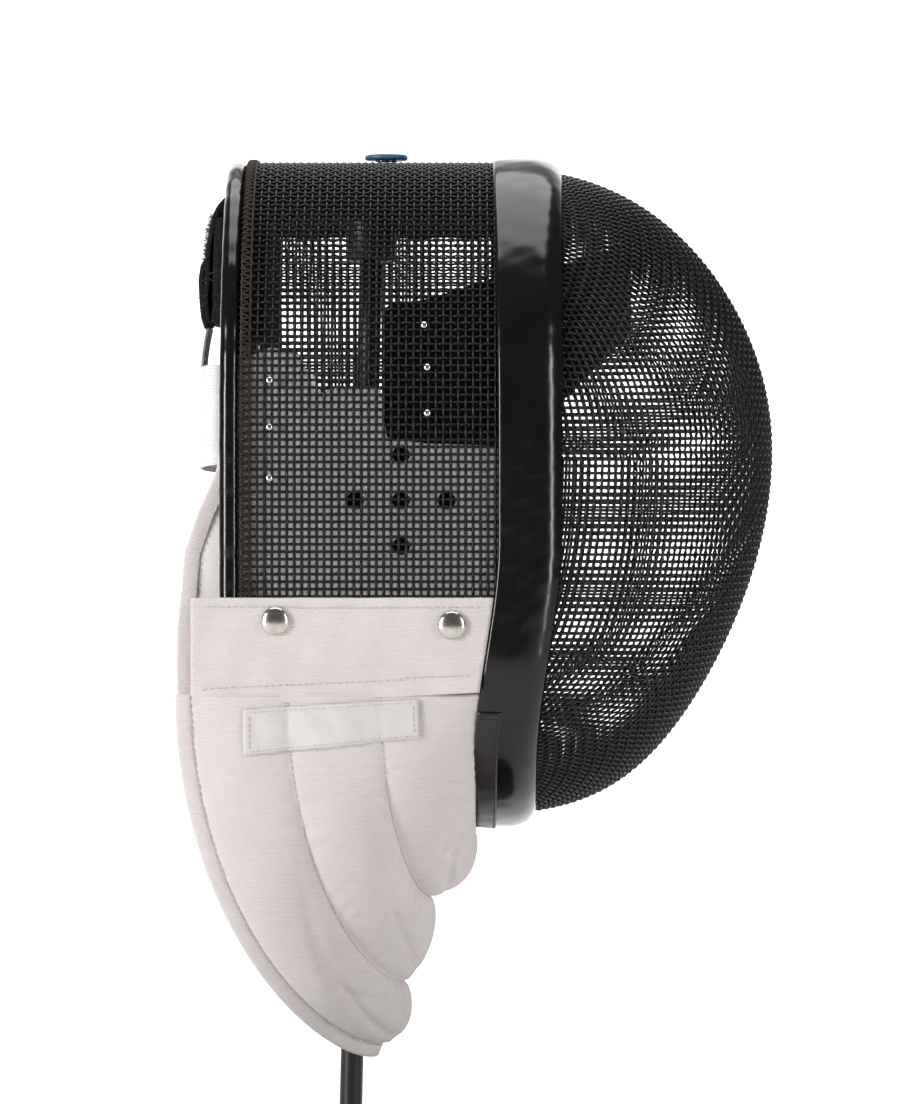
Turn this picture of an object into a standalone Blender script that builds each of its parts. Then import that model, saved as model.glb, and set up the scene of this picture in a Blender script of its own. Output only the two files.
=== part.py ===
# Fencing mask on a plain display stand.
# Metres, +Z up. The face looks along -Y and the wearer's right is at -X.
# The origin is the centre of the stand base's underside.

import math

import bmesh
import bpy
from mathutils import Vector

# Clearance between pieces that touch, and over facets that don't line up
GAP = 0.0003
FACET_GAP = 0.0007

# Front outline of the mask, the outer face of the side mesh
HALF_WIDTH = 0.0985
JAW_HALF_WIDTH = HALF_WIDTH - 0.002
CROWN_Z = 0.475
SPRING_Z = 0.350
JAW_Z = 0.265
CHIN_Z = 0.1875
# Height of the arch over the widest line; upper pieces stand at shares of it
ARCH_RISE = CROWN_Z - SPRING_Z

# Woven wire: two crossing wires thick
MESH_WALL = 0.002
SIDE_MESH_HEM_Z = 0.249
SIDE_MESH_REAR_Y = 0.0423

# Joint between side mesh and face mesh, seen from the side
JOINT_UPPER_Y = -0.078
JOINT_LOWER_Y = -0.068
JOINT_BEND_TOP_Z = 0.310
JOINT_BEND_LOW_Z = 0.215

# Domed face
DOME_TIP_Y = -0.1855
DOME_INSET = 0.003
DOME_EDGE_SHARE = 0.9961
DOME_CROWN_ROOT = 2.25
DOME_CHIN_ROOT = 3.1
DOME_CROWN_FLATTEN = 0.08
DOME_CHIN_FLATTEN = 0.25

# Glossy vinyl band over the joint
TRIM_SIDE_REACH = 0.0133
TRIM_CROWN_EXTRA = 0.0014
TRIM_LEAN = 0.35
# Share of the reach behind (+) or before (-) the joint, and cover over the mesh
TRIM_SECTION = (
    (1.00, 0.0013),
    (0.62, 0.0018),
    (0.22, 0.0021),
    (-0.14, 0.0043),
    (-0.55, 0.0029),
    (-0.85, 0.0016),
    (-1.00, 0.0008),
)
FLAP_THICKNESS = 0.0010
FLAP_TOP_Z = 0.239

# Vinyl tube round the rear edge of the side mesh
RIM_RADIUS = 0.0044
RIM_FOOT_Z = 0.251

# White upper band that carries the bib
BAND_TOP_Z = 0.286
BAND_FOOT_Z = 0.2462
BAND_REAR_Y = 0.063
BAND_THICKNESS = 0.0016

# Padded bib in nested U channels
BIB_TOP_Z = 0.2458
BIB_HALF_WIDTH = HALF_WIDTH
BIB_WALL = 0.0070
BIB_SIDE_PUFF = 0.0018
BIB_FRONT_PUFF = 0.0075
BIB_SWEEP_POWER = 1.35
BIB_PUFF_SWEEP = 1.5
BIB_PUFF_ROUND = 0.7
# Seams and edge: Y where they start at the side, Y and Z where they cross the middle
BIB_SEAMS = (
    (-0.0158, -0.0360, 0.1555),
    (0.0228, -0.0247, 0.1180),
    (0.0630, -0.0150, 0.0906),
)
BIB_CHIN_DROP = 0.0066
BIB_EDGE_GAP = 0.0009
BINDING_WIDTH = 0.0066
BINDING_THICKNESS = 0.0046
BINDING_ROUND = 0.0006

# Label patch sewn to the bib, left bare
LABEL_REAR_Y = 0.0410
LABEL_FRONT_Y = -0.0315
LABEL_TOP_Z = 0.2405
LABEL_HEIGHT = 0.0185
LABEL_THICKNESS = 0.0005

# Inner liner beside the ears
LINER_WALL = 0.0015
LINER_FOOT_Z = 0.262
LINER_STEP_FALL = 0.012
LINER_BEND_Y = 0.0300
LINER_BEND_END_Y = 0.0415
EAR_HOLE_RADIUS = 0.0041
EAR_CENTRE_Y = -0.0245
EAR_CENTRE_Z = 0.3265
EAR_HOLE_SPREAD = 0.0190
EAR_CUTTER_DEPTH = 0.3 * HALF_WIDTH
# Y of each upright, and Z of the liner's upper edge there
LINER_EDGE = (
    (-0.0620, SPRING_Z + 0.192 * ARCH_RISE),
    (-0.0300, SPRING_Z + 0.192 * ARCH_RISE),
    (0.0040, SPRING_Z + 0.188 * ARCH_RISE),
    (0.0110, SPRING_Z + 0.160 * ARCH_RISE),
    (0.0180, SPRING_Z + 0.304 * ARCH_RISE),
    (LINER_BEND_Y, SPRING_Z + 0.324 * ARCH_RISE),
    (LINER_BEND_END_Y, SPRING_Z + 0.288 * ARCH_RISE),
    (0.0520, 0.3380),
    (0.0600, 0.3200),
    (0.0655, 0.3040),
)

# Foam pads
PAD_FOAM = 0.0060
CROWN_FOAM = 0.0050
CROWN_PAD_SIDE_Z = SPRING_Z + 0.810 * ARCH_RISE
CROWN_PAD_LEG_Z = SPRING_Z + 0.360 * ARCH_RISE
CROWN_PAD_FRONT_Y = -0.066
CROWN_PAD_REAR_Y = 0.0415
CROWN_PAD_LEG_Y = 0.0325
# Share of the half width, Y, then lower and upper edge as shares of the arch's rise
FOREHEAD_ROWS = (
    (1.00, -0.0175, 0.024, 0.464),
    (1.00, -0.0340, 0.000, 0.488),
    (1.00, -0.0520, -0.008, 0.532),
    (0.985, -0.0740, 0.048, 0.584),
    (0.93, -0.0930, 0.160, 0.616),
    (0.80, -0.1060, 0.264, 0.640),
    (0.58, -0.1160, 0.336, 0.672),
    (0.30, -0.1220, 0.392, 0.704),
    (0.00, -0.1240, 0.416, 0.720),
)

# Elastic strap across the back
STRAP_TOP_Z = SPRING_Z + 0.268 * ARCH_RISE
STRAP_WIDTH = 0.0420
STRAP_THICKNESS = 0.0016
STRAP_BACK_Y = 0.0635
STRAP_FRONT_Y = 0.0220
STRAP_BULGE = 0.8
STRAP_STEPS = 16

# Black strap and grey loop in the middle of the back
BACK_STRAP_WIDTH = 0.0380
BACK_STRAP_THICKNESS = 0.0024
BACK_STRAP_BEND_Z = CROWN_Z - 0.030
BACK_STRAP_BEND_RISE = 0.015
# Y and Z along the middle of the black strap, from the crown pad down
BACK_STRAP_PATH = (
    (0.0180, CROWN_Z - 0.0102),
    (0.0340, CROWN_Z - 0.0102),
    (0.0480, CROWN_Z - 0.0120),
    (0.0545, CROWN_Z - 0.0180),
    (0.0580, CROWN_Z - 0.0270),
    (0.0595, SPRING_Z + 0.696 * ARCH_RISE),
    (0.0606, SPRING_Z + 0.592 * ARCH_RISE),
    (0.0608, SPRING_Z + 0.496 * ARCH_RISE),
    (0.0600, SPRING_Z + 0.428 * ARCH_RISE),
)
LOOP_WIDTH = 0.0300
LOOP_THICKNESS = 0.0014

# Blue button on the crown
BUTTON_Y = -0.017
BUTTON_RADIUS = 0.0094
BUTTON_HEIGHT = 0.0022
WASHER_RADIUS = 0.0048
WASHER_THICKNESS = 0.0005

# Studs on the upper band, and small rivets on the side mesh
STUD_RADIUS = 0.0060
STUD_HEIGHT = 0.0030
STUDS = (("rear", 0.0278, BAND_TOP_Z - 0.0096), ("front", -0.0456, BAND_TOP_Z - 0.0113))
RIVET_RADIUS = 0.0015
RIVET_HEIGHT = 0.0011
RIVETS = (
    ("strap_rivet_upper", 0.0303, SPRING_Z + 0.2112 * ARCH_RISE),
    ("strap_rivet_middle", 0.0303, SPRING_Z + 0.0552 * ARCH_RISE),
    ("strap_rivet_lower", 0.0303, 0.3357),
    ("pad_rivet_upper", -0.0340, SPRING_Z + 0.3968 * ARCH_RISE),
    ("pad_rivet_middle", -0.0353, SPRING_Z + 0.2544 * ARCH_RISE),
    ("pad_rivet_lower", -0.0353, SPRING_Z + 0.1016 * ARCH_RISE),
)

# Plain stand: disc, leaning rod and block under the crown pad
BASE_RADIUS = 0.110
BASE_HEIGHT = 0.008
BASE_EDGE = 0.0015
POLE_RADIUS = 0.005
POLE_LEAN_DEGREES = 1.36
BLOCK_RADIUS = 0.011
BLOCK_FOOT_Z = CROWN_Z - 0.043

LOOP_STEPS = 54
PAD_STEPS = 26
PAD_LEVELS = 4
ARCH_STEPS = 36
DOME_RINGS = 9
BIB_STEPS = 26
CHANNEL_STEPS = 4
TURNED_SIDES = 16
RIVET_SIDES = 10
BASE_SIDES = 48


def smooth_step(share):
    share = min(max(share, 0.0), 1.0)
    return share * share * (3.0 - 2.0 * share)


def mix(a, b, share):
    return a + (b - a) * share


# Front outline

def jaw_half_width(z):
    """Half width of the straight flanks between spring line and jaw."""
    share = (SPRING_Z - z) / (SPRING_Z - JAW_Z)
    return mix(HALF_WIDTH, JAW_HALF_WIDTH, share)


def outline_x(z, inset=0.0):
    """Half width of the front outline at height z."""
    if z >= SPRING_Z:
        rise = CROWN_Z - SPRING_Z - inset
        return (HALF_WIDTH - inset) * math.sqrt(max(1.0 - ((z - SPRING_Z) / rise) ** 2, 0.0))
    if z >= JAW_Z:
        return jaw_half_width(z) - inset
    drop = JAW_Z - CHIN_Z - inset
    return (JAW_HALF_WIDTH - inset) * math.sqrt(max(1.0 - ((JAW_Z - z) / drop) ** 2, 0.0))


def outline_radius(turn, inset=0.0):
    """Distance from the face's centre line to the front outline, by angle from +X."""
    cos, sin = abs(math.cos(turn)), math.sin(turn)
    if sin >= 0.0:
        wide, high = HALF_WIDTH - inset, CROWN_Z - SPRING_Z - inset
        return 1.0 / math.sqrt((cos / wide) ** 2 + (sin / high) ** 2)
    taper = (HALF_WIDTH - JAW_HALF_WIDTH) / (SPRING_Z - JAW_Z)
    flank = (HALF_WIDTH - inset) / (cos - taper * sin)
    if flank * -sin <= SPRING_Z - JAW_Z:
        return flank
    wide, high = JAW_HALF_WIDTH - inset, JAW_Z - CHIN_Z - inset
    low = SPRING_Z - JAW_Z
    a = (cos / wide) ** 2 + (sin / high) ** 2
    b = 2.0 * sin * low / high ** 2
    c = (low / high) ** 2 - 1.0
    return (-b + math.sqrt(b * b - 4.0 * a * c)) / (2.0 * a)


def outline_point(turn, inset=0.0):
    radius = outline_radius(turn, inset)
    return radius * math.cos(turn), SPRING_Z + radius * math.sin(turn)


def outline_normal(turn):
    """Outward direction of the front outline in the XZ plane."""
    step = 0.004
    x0, z0 = outline_point(turn - step)
    x1, z1 = outline_point(turn + step)
    return Vector((z1 - z0, 0.0, x0 - x1)).normalized()


def inset_point(turn, inset):
    """Point a distance inside the front outline."""
    x, z = outline_point(turn)
    normal = outline_normal(turn)
    return x - normal.x * inset, z - normal.z * inset


def arch_turns(foot_z, steps):
    """Angles from the right foot over the crown to the left foot."""
    foot = math.atan2(foot_z - SPRING_Z, outline_x(foot_z))
    return [math.pi - foot + (2.0 * foot - math.pi) * i / steps for i in range(steps + 1)]


def joint_y(z):
    share = (JOINT_BEND_TOP_Z - z) / (JOINT_BEND_TOP_Z - JOINT_BEND_LOW_Z)
    return mix(JOINT_UPPER_Y, JOINT_LOWER_Y, smooth_step(share))


def trim_reach(turn):
    return TRIM_SIDE_REACH + TRIM_CROWN_EXTRA * max(math.sin(turn), 0.0) ** 2


def trim_rear_y(z):
    """Rear edge of the vinyl band beside the flanks and the jaw."""
    return joint_y(z) + TRIM_SIDE_REACH


# Domed face

def dome_depth_share(turn, share):
    """Depth behind the tip, of the depth at the joint, at a share of the way out to it."""
    height = 1.0 - ((1.0 - math.sin(turn)) / 2.0) ** 2
    root = mix(DOME_CHIN_ROOT, DOME_CROWN_ROOT, height)
    flatten = mix(DOME_CHIN_FLATTEN, DOME_CROWN_FLATTEN, height)
    at_edge = 1.0 - (1.0 - DOME_EDGE_SHARE ** 2) ** (1.0 / root)
    here = 1.0 - (1.0 - (DOME_EDGE_SHARE * share) ** 2) ** (1.0 / root)
    return here / at_edge + flatten * share ** 2 * (1.0 - share ** 2)


def dome_point(turn, share):
    x, z = outline_point(turn, DOME_INSET)
    depth = joint_y(z) - DOME_TIP_Y
    y = DOME_TIP_Y + depth * dome_depth_share(turn, share)
    return Vector((x * share, y, SPRING_Z + (z - SPRING_Z) * share))


def dome_point_before_joint(turn, distance):
    """Point of the dome that lies a distance along -Y from the joint."""
    low, high = 0.5, 1.0
    target = dome_point(turn, 1.0).y - distance
    for _ in range(30):
        middle = (low + high) / 2.0
        if dome_point(turn, middle).y < target:
            low = middle
        else:
            high = middle
    return dome_point(turn, high)


# Bib

def bib_seam_point(row, swing):
    """Point of a seam; swing runs from 0 at the right side to pi at the left."""
    side = math.cos(swing)
    fall = math.sin(swing)
    if row == 0:
        start = math.asin((JAW_Z - BIB_TOP_Z) / (JAW_Z - CHIN_Z))
        turn = start + (math.pi / 2.0 - start) * (1.0 - abs(swing / (math.pi / 2.0) - 1.0))
        x = -math.copysign(JAW_HALF_WIDTH * math.cos(turn), side)
        z = JAW_Z - (JAW_Z - CHIN_Z + BIB_CHIN_DROP * fall) * math.sin(turn)
        return Vector((x, trim_rear_y(z) + BIB_EDGE_GAP, z))
    y_side, y_middle, z_middle = BIB_SEAMS[row - 1]
    y = mix(y_side, y_middle, 1.0 - abs(side) ** BIB_SWEEP_POWER)
    return Vector((-BIB_HALF_WIDTH * side, y, BIB_TOP_Z - (BIB_TOP_Z - z_middle) * fall))


def bib_flat_point(across, swing):
    """Point of the bib without its padding; across runs from 0 at the chin to 3 at the edge."""
    row = min(int(across), len(BIB_SEAMS) - 1)
    return bib_seam_point(row, swing).lerp(bib_seam_point(row + 1, swing), across - row)


def bib_normal(across, swing):
    step = 0.02
    along = bib_flat_point(across, swing + step) - bib_flat_point(across, swing - step)
    low, high = max(across - step, 0.0), min(across + step, len(BIB_SEAMS) - 0.001)
    out = bib_flat_point(high, swing) - bib_flat_point(low, swing)
    return along.cross(out).normalized() * -1.0


def bib_point(across, swing, lift=0.0):
    puff = mix(BIB_SIDE_PUFF, BIB_FRONT_PUFF, abs(math.sin(swing)) ** BIB_PUFF_SWEEP)
    share = across - math.floor(across)
    height = puff * math.sin(math.pi * share) ** BIB_PUFF_ROUND if share > 0.0 else 0.0
    return bib_flat_point(across, swing) + bib_normal(across, swing) * (height + lift)


# Making objects

def make_material(name, colour, roughness, metallic=0.0):
    material = bpy.data.materials.new(name)
    material.use_nodes = True
    shader = material.node_tree.nodes["Principled BSDF"]
    shader.inputs["Base Color"].default_value = (*colour, 1.0)
    shader.inputs["Roughness"].default_value = roughness
    shader.inputs["Metallic"].default_value = metallic
    material.diffuse_color = (*colour, 1.0)
    return material


def new_object(name, mesh, material):
    piece = bpy.data.objects.new(name, mesh)
    mesh.materials.append(material)
    MASK.objects.link(piece)
    return piece


def surface_mesh(name, rows, closed=False):
    """Open surface lofted through rows of points."""
    bm = bmesh.new()
    grid = [[bm.verts.new(point) for point in row] for row in rows]
    count = len(rows[0])
    for lower, upper in zip(grid, grid[1:]):
        for i in range(count if closed else count - 1):
            j = (i + 1) % count
            bm.faces.new((lower[i], lower[j], upper[j], upper[i]))
    mesh = bpy.data.meshes.new(name)
    bm.to_mesh(mesh)
    bm.free()
    mesh.shade_smooth()
    return mesh


def shell(name, rows, wall, material, closed=False, offset=-1.0):
    """Solidified surface; offset -1 grows the wall behind the surface."""
    piece = new_object(name, surface_mesh(name, rows, closed), material)
    modifier = piece.modifiers.new("wall", "SOLIDIFY")
    modifier.thickness = wall
    modifier.offset = offset
    modifier.use_even_offset = False
    return piece


def ring_loft(name, sections, material, closed_loop=False):
    """Solid lofted through closed sections, with flat ends unless the loop closes."""
    bm = bmesh.new()
    rings = [[bm.verts.new(point) for point in section] for section in sections]
    count = len(sections[0])
    pairs = list(zip(rings, rings[1:]))
    if closed_loop:
        pairs.append((rings[-1], rings[0]))
    for a, b in pairs:
        for i in range(count):
            j = (i + 1) % count
            bm.faces.new((a[i], a[j], b[j], b[i]))
    if not closed_loop:
        bm.faces.new(rings[0][::-1])
        bm.faces.new(rings[-1])
    bmesh.ops.recalc_face_normals(bm, faces=bm.faces)
    mesh = bpy.data.meshes.new(name)
    bm.to_mesh(mesh)
    bm.free()
    mesh.shade_smooth()
    return new_object(name, mesh, material)


def turned(name, profile, material, place, rotation=(0.0, 0.0, 0.0), sides=TURNED_SIDES):
    """Turned piece: radius and height down its outer side."""
    bm = bmesh.new()
    verts = [bm.verts.new((radius, 0.0, height)) for radius, height in profile]
    for a, b in zip(verts, verts[1:]):
        bm.edges.new((a, b))
    mesh = bpy.data.meshes.new(name)
    bm.to_mesh(mesh)
    bm.free()
    piece = new_object(name, mesh, material)
    screw = piece.modifiers.new("turn", "SCREW")
    screw.axis = "Z"
    screw.steps = sides
    screw.render_steps = sides
    screw.use_merge_vertices = True
    screw.merge_threshold = 0.00001
    piece.location = place
    piece.rotation_euler = rotation
    return piece


# Pieces of the mask

def build_face_mesh():
    turns = [2.0 * math.pi * i / LOOP_STEPS for i in range(LOOP_STEPS)]
    shares = [math.sin(math.pi / 2.0 * ring / DOME_RINGS) for ring in range(1, DOME_RINGS + 1)]
    rows = [[dome_point(turn, share) + Vector((0.0, -GAP / 2.0, 0.0)) for turn in turns]
            for share in shares]
    bm = bmesh.new()
    grid = [[bm.verts.new(point) for point in row] for row in rows]
    tip = bm.verts.new((0.0, DOME_TIP_Y, SPRING_Z))
    for i in range(LOOP_STEPS):
        j = (i + 1) % LOOP_STEPS
        bm.faces.new((tip, grid[0][i], grid[0][j]))
        for inner, outer in zip(grid, grid[1:]):
            bm.faces.new((inner[i], outer[i], outer[j], inner[j]))
    mesh = bpy.data.meshes.new("front_mesh")
    bm.to_mesh(mesh)
    bm.free()
    mesh.shade_smooth()
    piece = new_object("front_mesh", mesh, BLACK_WIRE)
    modifier = piece.modifiers.new("wall", "SOLIDIFY")
    modifier.thickness = MESH_WALL
    modifier.offset = -1.0


def build_side_mesh():
    turns = arch_turns(SIDE_MESH_HEM_Z, ARCH_STEPS)
    rear, front = [], []
    for turn in turns:
        x, z = outline_point(turn)
        rear.append((x, SIDE_MESH_REAR_Y, z))
        front.append((x, joint_y(z) + GAP / 2.0, z))
    shell("side_mesh", [front, rear], MESH_WALL, BLACK_WIRE)


def trim_surface_point(turn, share, cover):
    """Point over the mesh at a share of the band's reach, lifted by cover."""
    reach = trim_reach(turn)
    if share >= 0.0:
        x, z = outline_point(turn)
        return Vector((x, joint_y(z) + reach * share, z)) + outline_normal(turn) * cover
    base = dome_point_before_joint(turn, -reach * share)
    lean = Vector((0.0, TRIM_LEAN * share, 0.0))
    return base + (outline_normal(turn) + lean).normalized() * cover


def build_trim():
    sections = []
    for i in range(LOOP_STEPS):
        turn = 2.0 * math.pi * i / LOOP_STEPS
        outer = [trim_surface_point(turn, share, GAP + cover) for share, cover in TRIM_SECTION]
        ends = (TRIM_SECTION[-1][0], TRIM_SECTION[-3][0])
        inner = [trim_surface_point(turn, share, GAP) for share in ends]
        inner += [trim_surface_point(turn, share, FACET_GAP) for share in (0.0, 1.0)]
        sections.append(outer + inner)
    ring_loft("front_trim", sections, BLACK_VINYL, closed_loop=True)


def build_trim_flap():
    foot = math.atan2(FLAP_TOP_Z - SPRING_Z, -outline_x(FLAP_TOP_Z))
    start, end = foot, -math.pi - foot
    steps = LOOP_STEPS // 2
    sections = []
    for i in range(steps + 1):
        turn = mix(start, end, i / steps)
        low = [trim_surface_point(turn, share, 2.0 * GAP + cover) for share, cover in TRIM_SECTION[:3]]
        high = [trim_surface_point(turn, share, 2.0 * GAP + cover + FLAP_THICKNESS)
                for share, cover in TRIM_SECTION[:3]]
        sections.append(low + high[::-1])
    ring_loft("trim_flap", sections, BROWN_VINYL)


def build_rim_binding():
    inset = RIM_RADIUS - GAP
    centre_y = SIDE_MESH_REAR_Y + GAP + RIM_RADIUS
    points = []
    for turn in arch_turns(RIM_FOOT_Z, ARCH_STEPS):
        x, z = outline_point(turn)
        points.append(Vector((x, centre_y, z)) - outline_normal(turn) * inset)
    curve = bpy.data.curves.new("rim_binding", "CURVE")
    curve.dimensions = "3D"
    spline = curve.splines.new("POLY")
    spline.points.add(len(points) - 1)
    for slot, point in zip(spline.points, points):
        slot.co = (*point, 1.0)
    curve.bevel_depth = RIM_RADIUS
    curve.bevel_resolution = 3
    curve.use_fill_caps = True
    curve.materials.append(BLACK_VINYL)
    piece = bpy.data.objects.new("rim_binding", curve)
    MASK.objects.link(piece)


def build_bib_band(name, side):
    """White band on the flank, from the vinyl band to behind the rim."""
    lift = GAP + BAND_THICKNESS
    rows = []
    for level in range(5):
        z = mix(BAND_FOOT_Z, BAND_TOP_Z, level / 4)
        x = outline_x(z) + lift
        rows.append([(side * x, mix(trim_rear_y(z) + GAP, BAND_REAR_Y, i / 8), z) for i in range(9)])
    if side < 0:
        rows = rows[::-1]
    shell(name, rows, BAND_THICKNESS, WHITE_CLOTH)


def build_bib():
    rows = []
    for step in range(len(BIB_SEAMS) * CHANNEL_STEPS + 1):
        across = step / CHANNEL_STEPS
        rows.append([bib_point(across, math.pi * i / BIB_STEPS) for i in range(BIB_STEPS + 1)])
    shell("bib", rows[::-1], BIB_WALL, WHITE_CLOTH)


def build_bib_binding():
    last = float(len(BIB_SEAMS))
    sections = []
    for i in range(BIB_STEPS + 1):
        swing = math.pi * i / BIB_STEPS
        edge = bib_flat_point(last, swing)
        inward = bib_normal(last, swing) * -BINDING_THICKNESS
        out = (edge - bib_flat_point(last - 0.2, swing)).normalized()
        near, far = edge + out * GAP * 2.0, edge + out * BINDING_WIDTH
        tip = far + out * BINDING_ROUND + inward / 2.0
        sections.append([near, far, tip, far + inward, near + inward])
    ring_loft("bib_binding", sections, WHITE_CLOTH)


def bib_across_at(y, z):
    """Seam share and swing of the bib point at the given Y and Z on the right side."""
    low, high = 0.0, float(len(BIB_SEAMS)) - 0.001
    for _ in range(30):
        across = (low + high) / 2.0
        row = min(int(across), len(BIB_SEAMS) - 1)
        start, end = bib_seam_point(row, math.pi / 2.0), bib_seam_point(row + 1, math.pi / 2.0)
        middle_z = mix(start.z, end.z, across - row)
        swing = math.asin((BIB_TOP_Z - z) / (BIB_TOP_Z - middle_z))
        if bib_flat_point(across, swing).y < y:
            low = across
        else:
            high = across
    return across, swing


def build_label():
    rows = []
    for level in range(4):
        z = LABEL_TOP_Z - LABEL_HEIGHT * level / 3
        row = []
        for i in range(17):
            across, swing = bib_across_at(mix(LABEL_FRONT_Y, LABEL_REAR_Y, i / 16), z)
            row.append(bib_point(across, swing, GAP * 2.0 + LABEL_THICKNESS))
        rows.append(row)
    shell("label_patch", rows, LABEL_THICKNESS, WHITE_CLOTH)


# Pieces inside the mask

def liner_inset(y):
    """The liner lies on the side mesh and passes inside the rim tube."""
    at_rim = 2.0 * RIM_RADIUS + FACET_GAP
    share = (y - LINER_BEND_Y) / (LINER_BEND_END_Y - LINER_BEND_Y)
    return mix(MESH_WALL + FACET_GAP, at_rim, min(max(share, 0.0), 1.0))


def liner_uprights():
    """Y and upper edge of each upright, closer together where the edge falls steeply."""
    uprights = []
    for (y0, z0), (y1, z1) in zip(LINER_EDGE, LINER_EDGE[1:]):
        steps = math.ceil(abs(z1 - z0) / LINER_STEP_FALL)
        for i in range(max(steps, 1)):
            share = i / max(steps, 1)
            uprights.append((mix(y0, y1, share), mix(z0, z1, share)))
    return uprights + [LINER_EDGE[-1]]


def build_liner(name, side):
    rows = []
    levels = 7
    for y, top in liner_uprights():
        row = []
        for level in range(levels + 1):
            z = mix(LINER_FOOT_Z, top, level / levels)
            row.append((side * outline_x(z, liner_inset(y)), y, z))
        rows.append(row)
    if side > 0:
        rows = rows[::-1]
    piece = shell(name, rows, LINER_WALL, WHITE_CLOTH)
    offsets = ((0.0, 0.0), (1.0, 0.0), (-1.0, 0.0), (0.0, 1.0), (0.0, -1.0))
    for number, (along, up) in enumerate(offsets):
        bpy.ops.mesh.primitive_cylinder_add(vertices=10, radius=EAR_HOLE_RADIUS, depth=EAR_CUTTER_DEPTH)
        cutter = bpy.context.active_object
        cutter.name = f"{name}_ear_cutter_{number}"
        cutter.rotation_euler = (0.0, math.pi / 2.0, 0.0)
        cutter.location = (side * HALF_WIDTH, EAR_CENTRE_Y + along * EAR_HOLE_SPREAD,
                           EAR_CENTRE_Z + up * EAR_HOLE_SPREAD)
        cutter.hide_render = True
        cutter.display_type = "WIRE"
        for collection in list(cutter.users_collection):
            collection.objects.unlink(cutter)
        CUTTERS.objects.link(cutter)
        cut = piece.modifiers.new(f"ear_hole_{number}", "BOOLEAN")
        cut.operation = "DIFFERENCE"
        cut.solver = "EXACT"
        cut.object = cutter


def build_crown_pad():
    inset = MESH_WALL + FACET_GAP
    stations = (
        (CROWN_PAD_FRONT_Y, CROWN_PAD_SIDE_Z),
        (mix(CROWN_PAD_FRONT_Y, CROWN_PAD_LEG_Y, 0.5), CROWN_PAD_SIDE_Z),
        (CROWN_PAD_LEG_Y - 0.001, CROWN_PAD_SIDE_Z),
        (CROWN_PAD_LEG_Y, CROWN_PAD_LEG_Z),
        (CROWN_PAD_REAR_Y, CROWN_PAD_LEG_Z),
    )
    rows = []
    for y, foot in stations:
        row = []
        for turn in arch_turns(foot, PAD_STEPS):
            x, z = inset_point(turn, inset)
            row.append((x, y, z))
        rows.append(row)
    shell("crown_pad", rows, CROWN_FOAM, BLACK_FOAM)


def build_forehead_pad():
    inset = MESH_WALL + LINER_WALL + 2.0 * FACET_GAP
    half = []
    for share, y, low, high in FOREHEAD_ROWS:
        column = []
        for level in range(PAD_LEVELS + 1):
            z = SPRING_Z + mix(low, high, level / PAD_LEVELS) * ARCH_RISE
            column.append(Vector((-share * outline_x(z, inset), y, z)))
        half.append(column)
    mirrored = [[Vector((-p.x, p.y, p.z)) for p in column] for column in half[-2::-1]]
    columns = half + mirrored
    shell("forehead_pad", columns[::-1], PAD_FOAM, BLACK_FOAM)


def build_elastic_strap():
    """Elastic inside the liner, past the rim and across the back."""
    beside = LINER_WALL + FACET_GAP
    rim_y = SIDE_MESH_REAR_Y + 2.0 * (GAP + RIM_RADIUS)
    ends = (STRAP_FRONT_Y, LINER_BEND_Y, LINER_BEND_END_Y)
    rows = []
    for level in range(4):
        z = STRAP_TOP_Z - STRAP_WIDTH * level / 3
        end = [(outline_x(z, liner_inset(y) + beside), y, z) for y in ends]
        half = outline_x(z, liner_inset(rim_y) + beside)
        across = []
        for i in range(STRAP_STEPS + 1):
            turn = math.pi * i / STRAP_STEPS
            bulge = abs(math.sin(turn)) ** STRAP_BULGE
            across.append((-half * math.cos(turn), mix(rim_y, STRAP_BACK_Y, bulge), z))
        rows.append([(-x, y, z) for x, y, z in end] + across + end[::-1])
    shell("elastic_strap", rows, STRAP_THICKNESS, WHITE_CLOTH)


def build_back_strap():
    half = BACK_STRAP_WIDTH / 2.0
    rows = []
    for y, z in BACK_STRAP_PATH:
        bend = smooth_step((z - BACK_STRAP_BEND_Z) / BACK_STRAP_BEND_RISE)
        row = []
        for i in range(7):
            x = mix(-half, half, i / 6)
            drop = (CROWN_Z - SPRING_Z) * (1.0 - math.sqrt(1.0 - (x / HALF_WIDTH) ** 2))
            row.append((x, y, z - drop * bend))
        rows.append(row)
    shell("back_strap", rows, BACK_STRAP_THICKNESS, BLACK_WEB, offset=0.0)


def build_strap_loop():
    """Grey webbing between the black strap and the elastic."""
    top_y, top_z = BACK_STRAP_PATH[-1]
    foot_z = STRAP_TOP_Z + GAP
    half = LOOP_WIDTH / 2.0
    rows = []
    for i in range(5):
        share = i / 4
        y = mix(top_y, STRAP_BACK_Y - STRAP_THICKNESS / 2.0, share)
        z = mix(top_z - GAP * 2.0, foot_z, share)
        rows.append([(mix(-half, half, j / 4), y, z) for j in range(5)])
    shell("strap_loop", rows, LOOP_THICKNESS, GREY_WEB, offset=0.0)


# Small metal pieces

def domed_profile(radius, height, steps=4):
    """Low dome with a short upright edge, from its crown down to its foot centre."""
    edge = height * 0.25
    rise = height - edge
    profile = [(radius * math.sin(math.pi / 2.0 * i / steps),
                edge + rise * math.cos(math.pi / 2.0 * i / steps)) for i in range(steps + 1)]
    return profile + [(radius, 0.0), (0.0, 0.0)]


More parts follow.
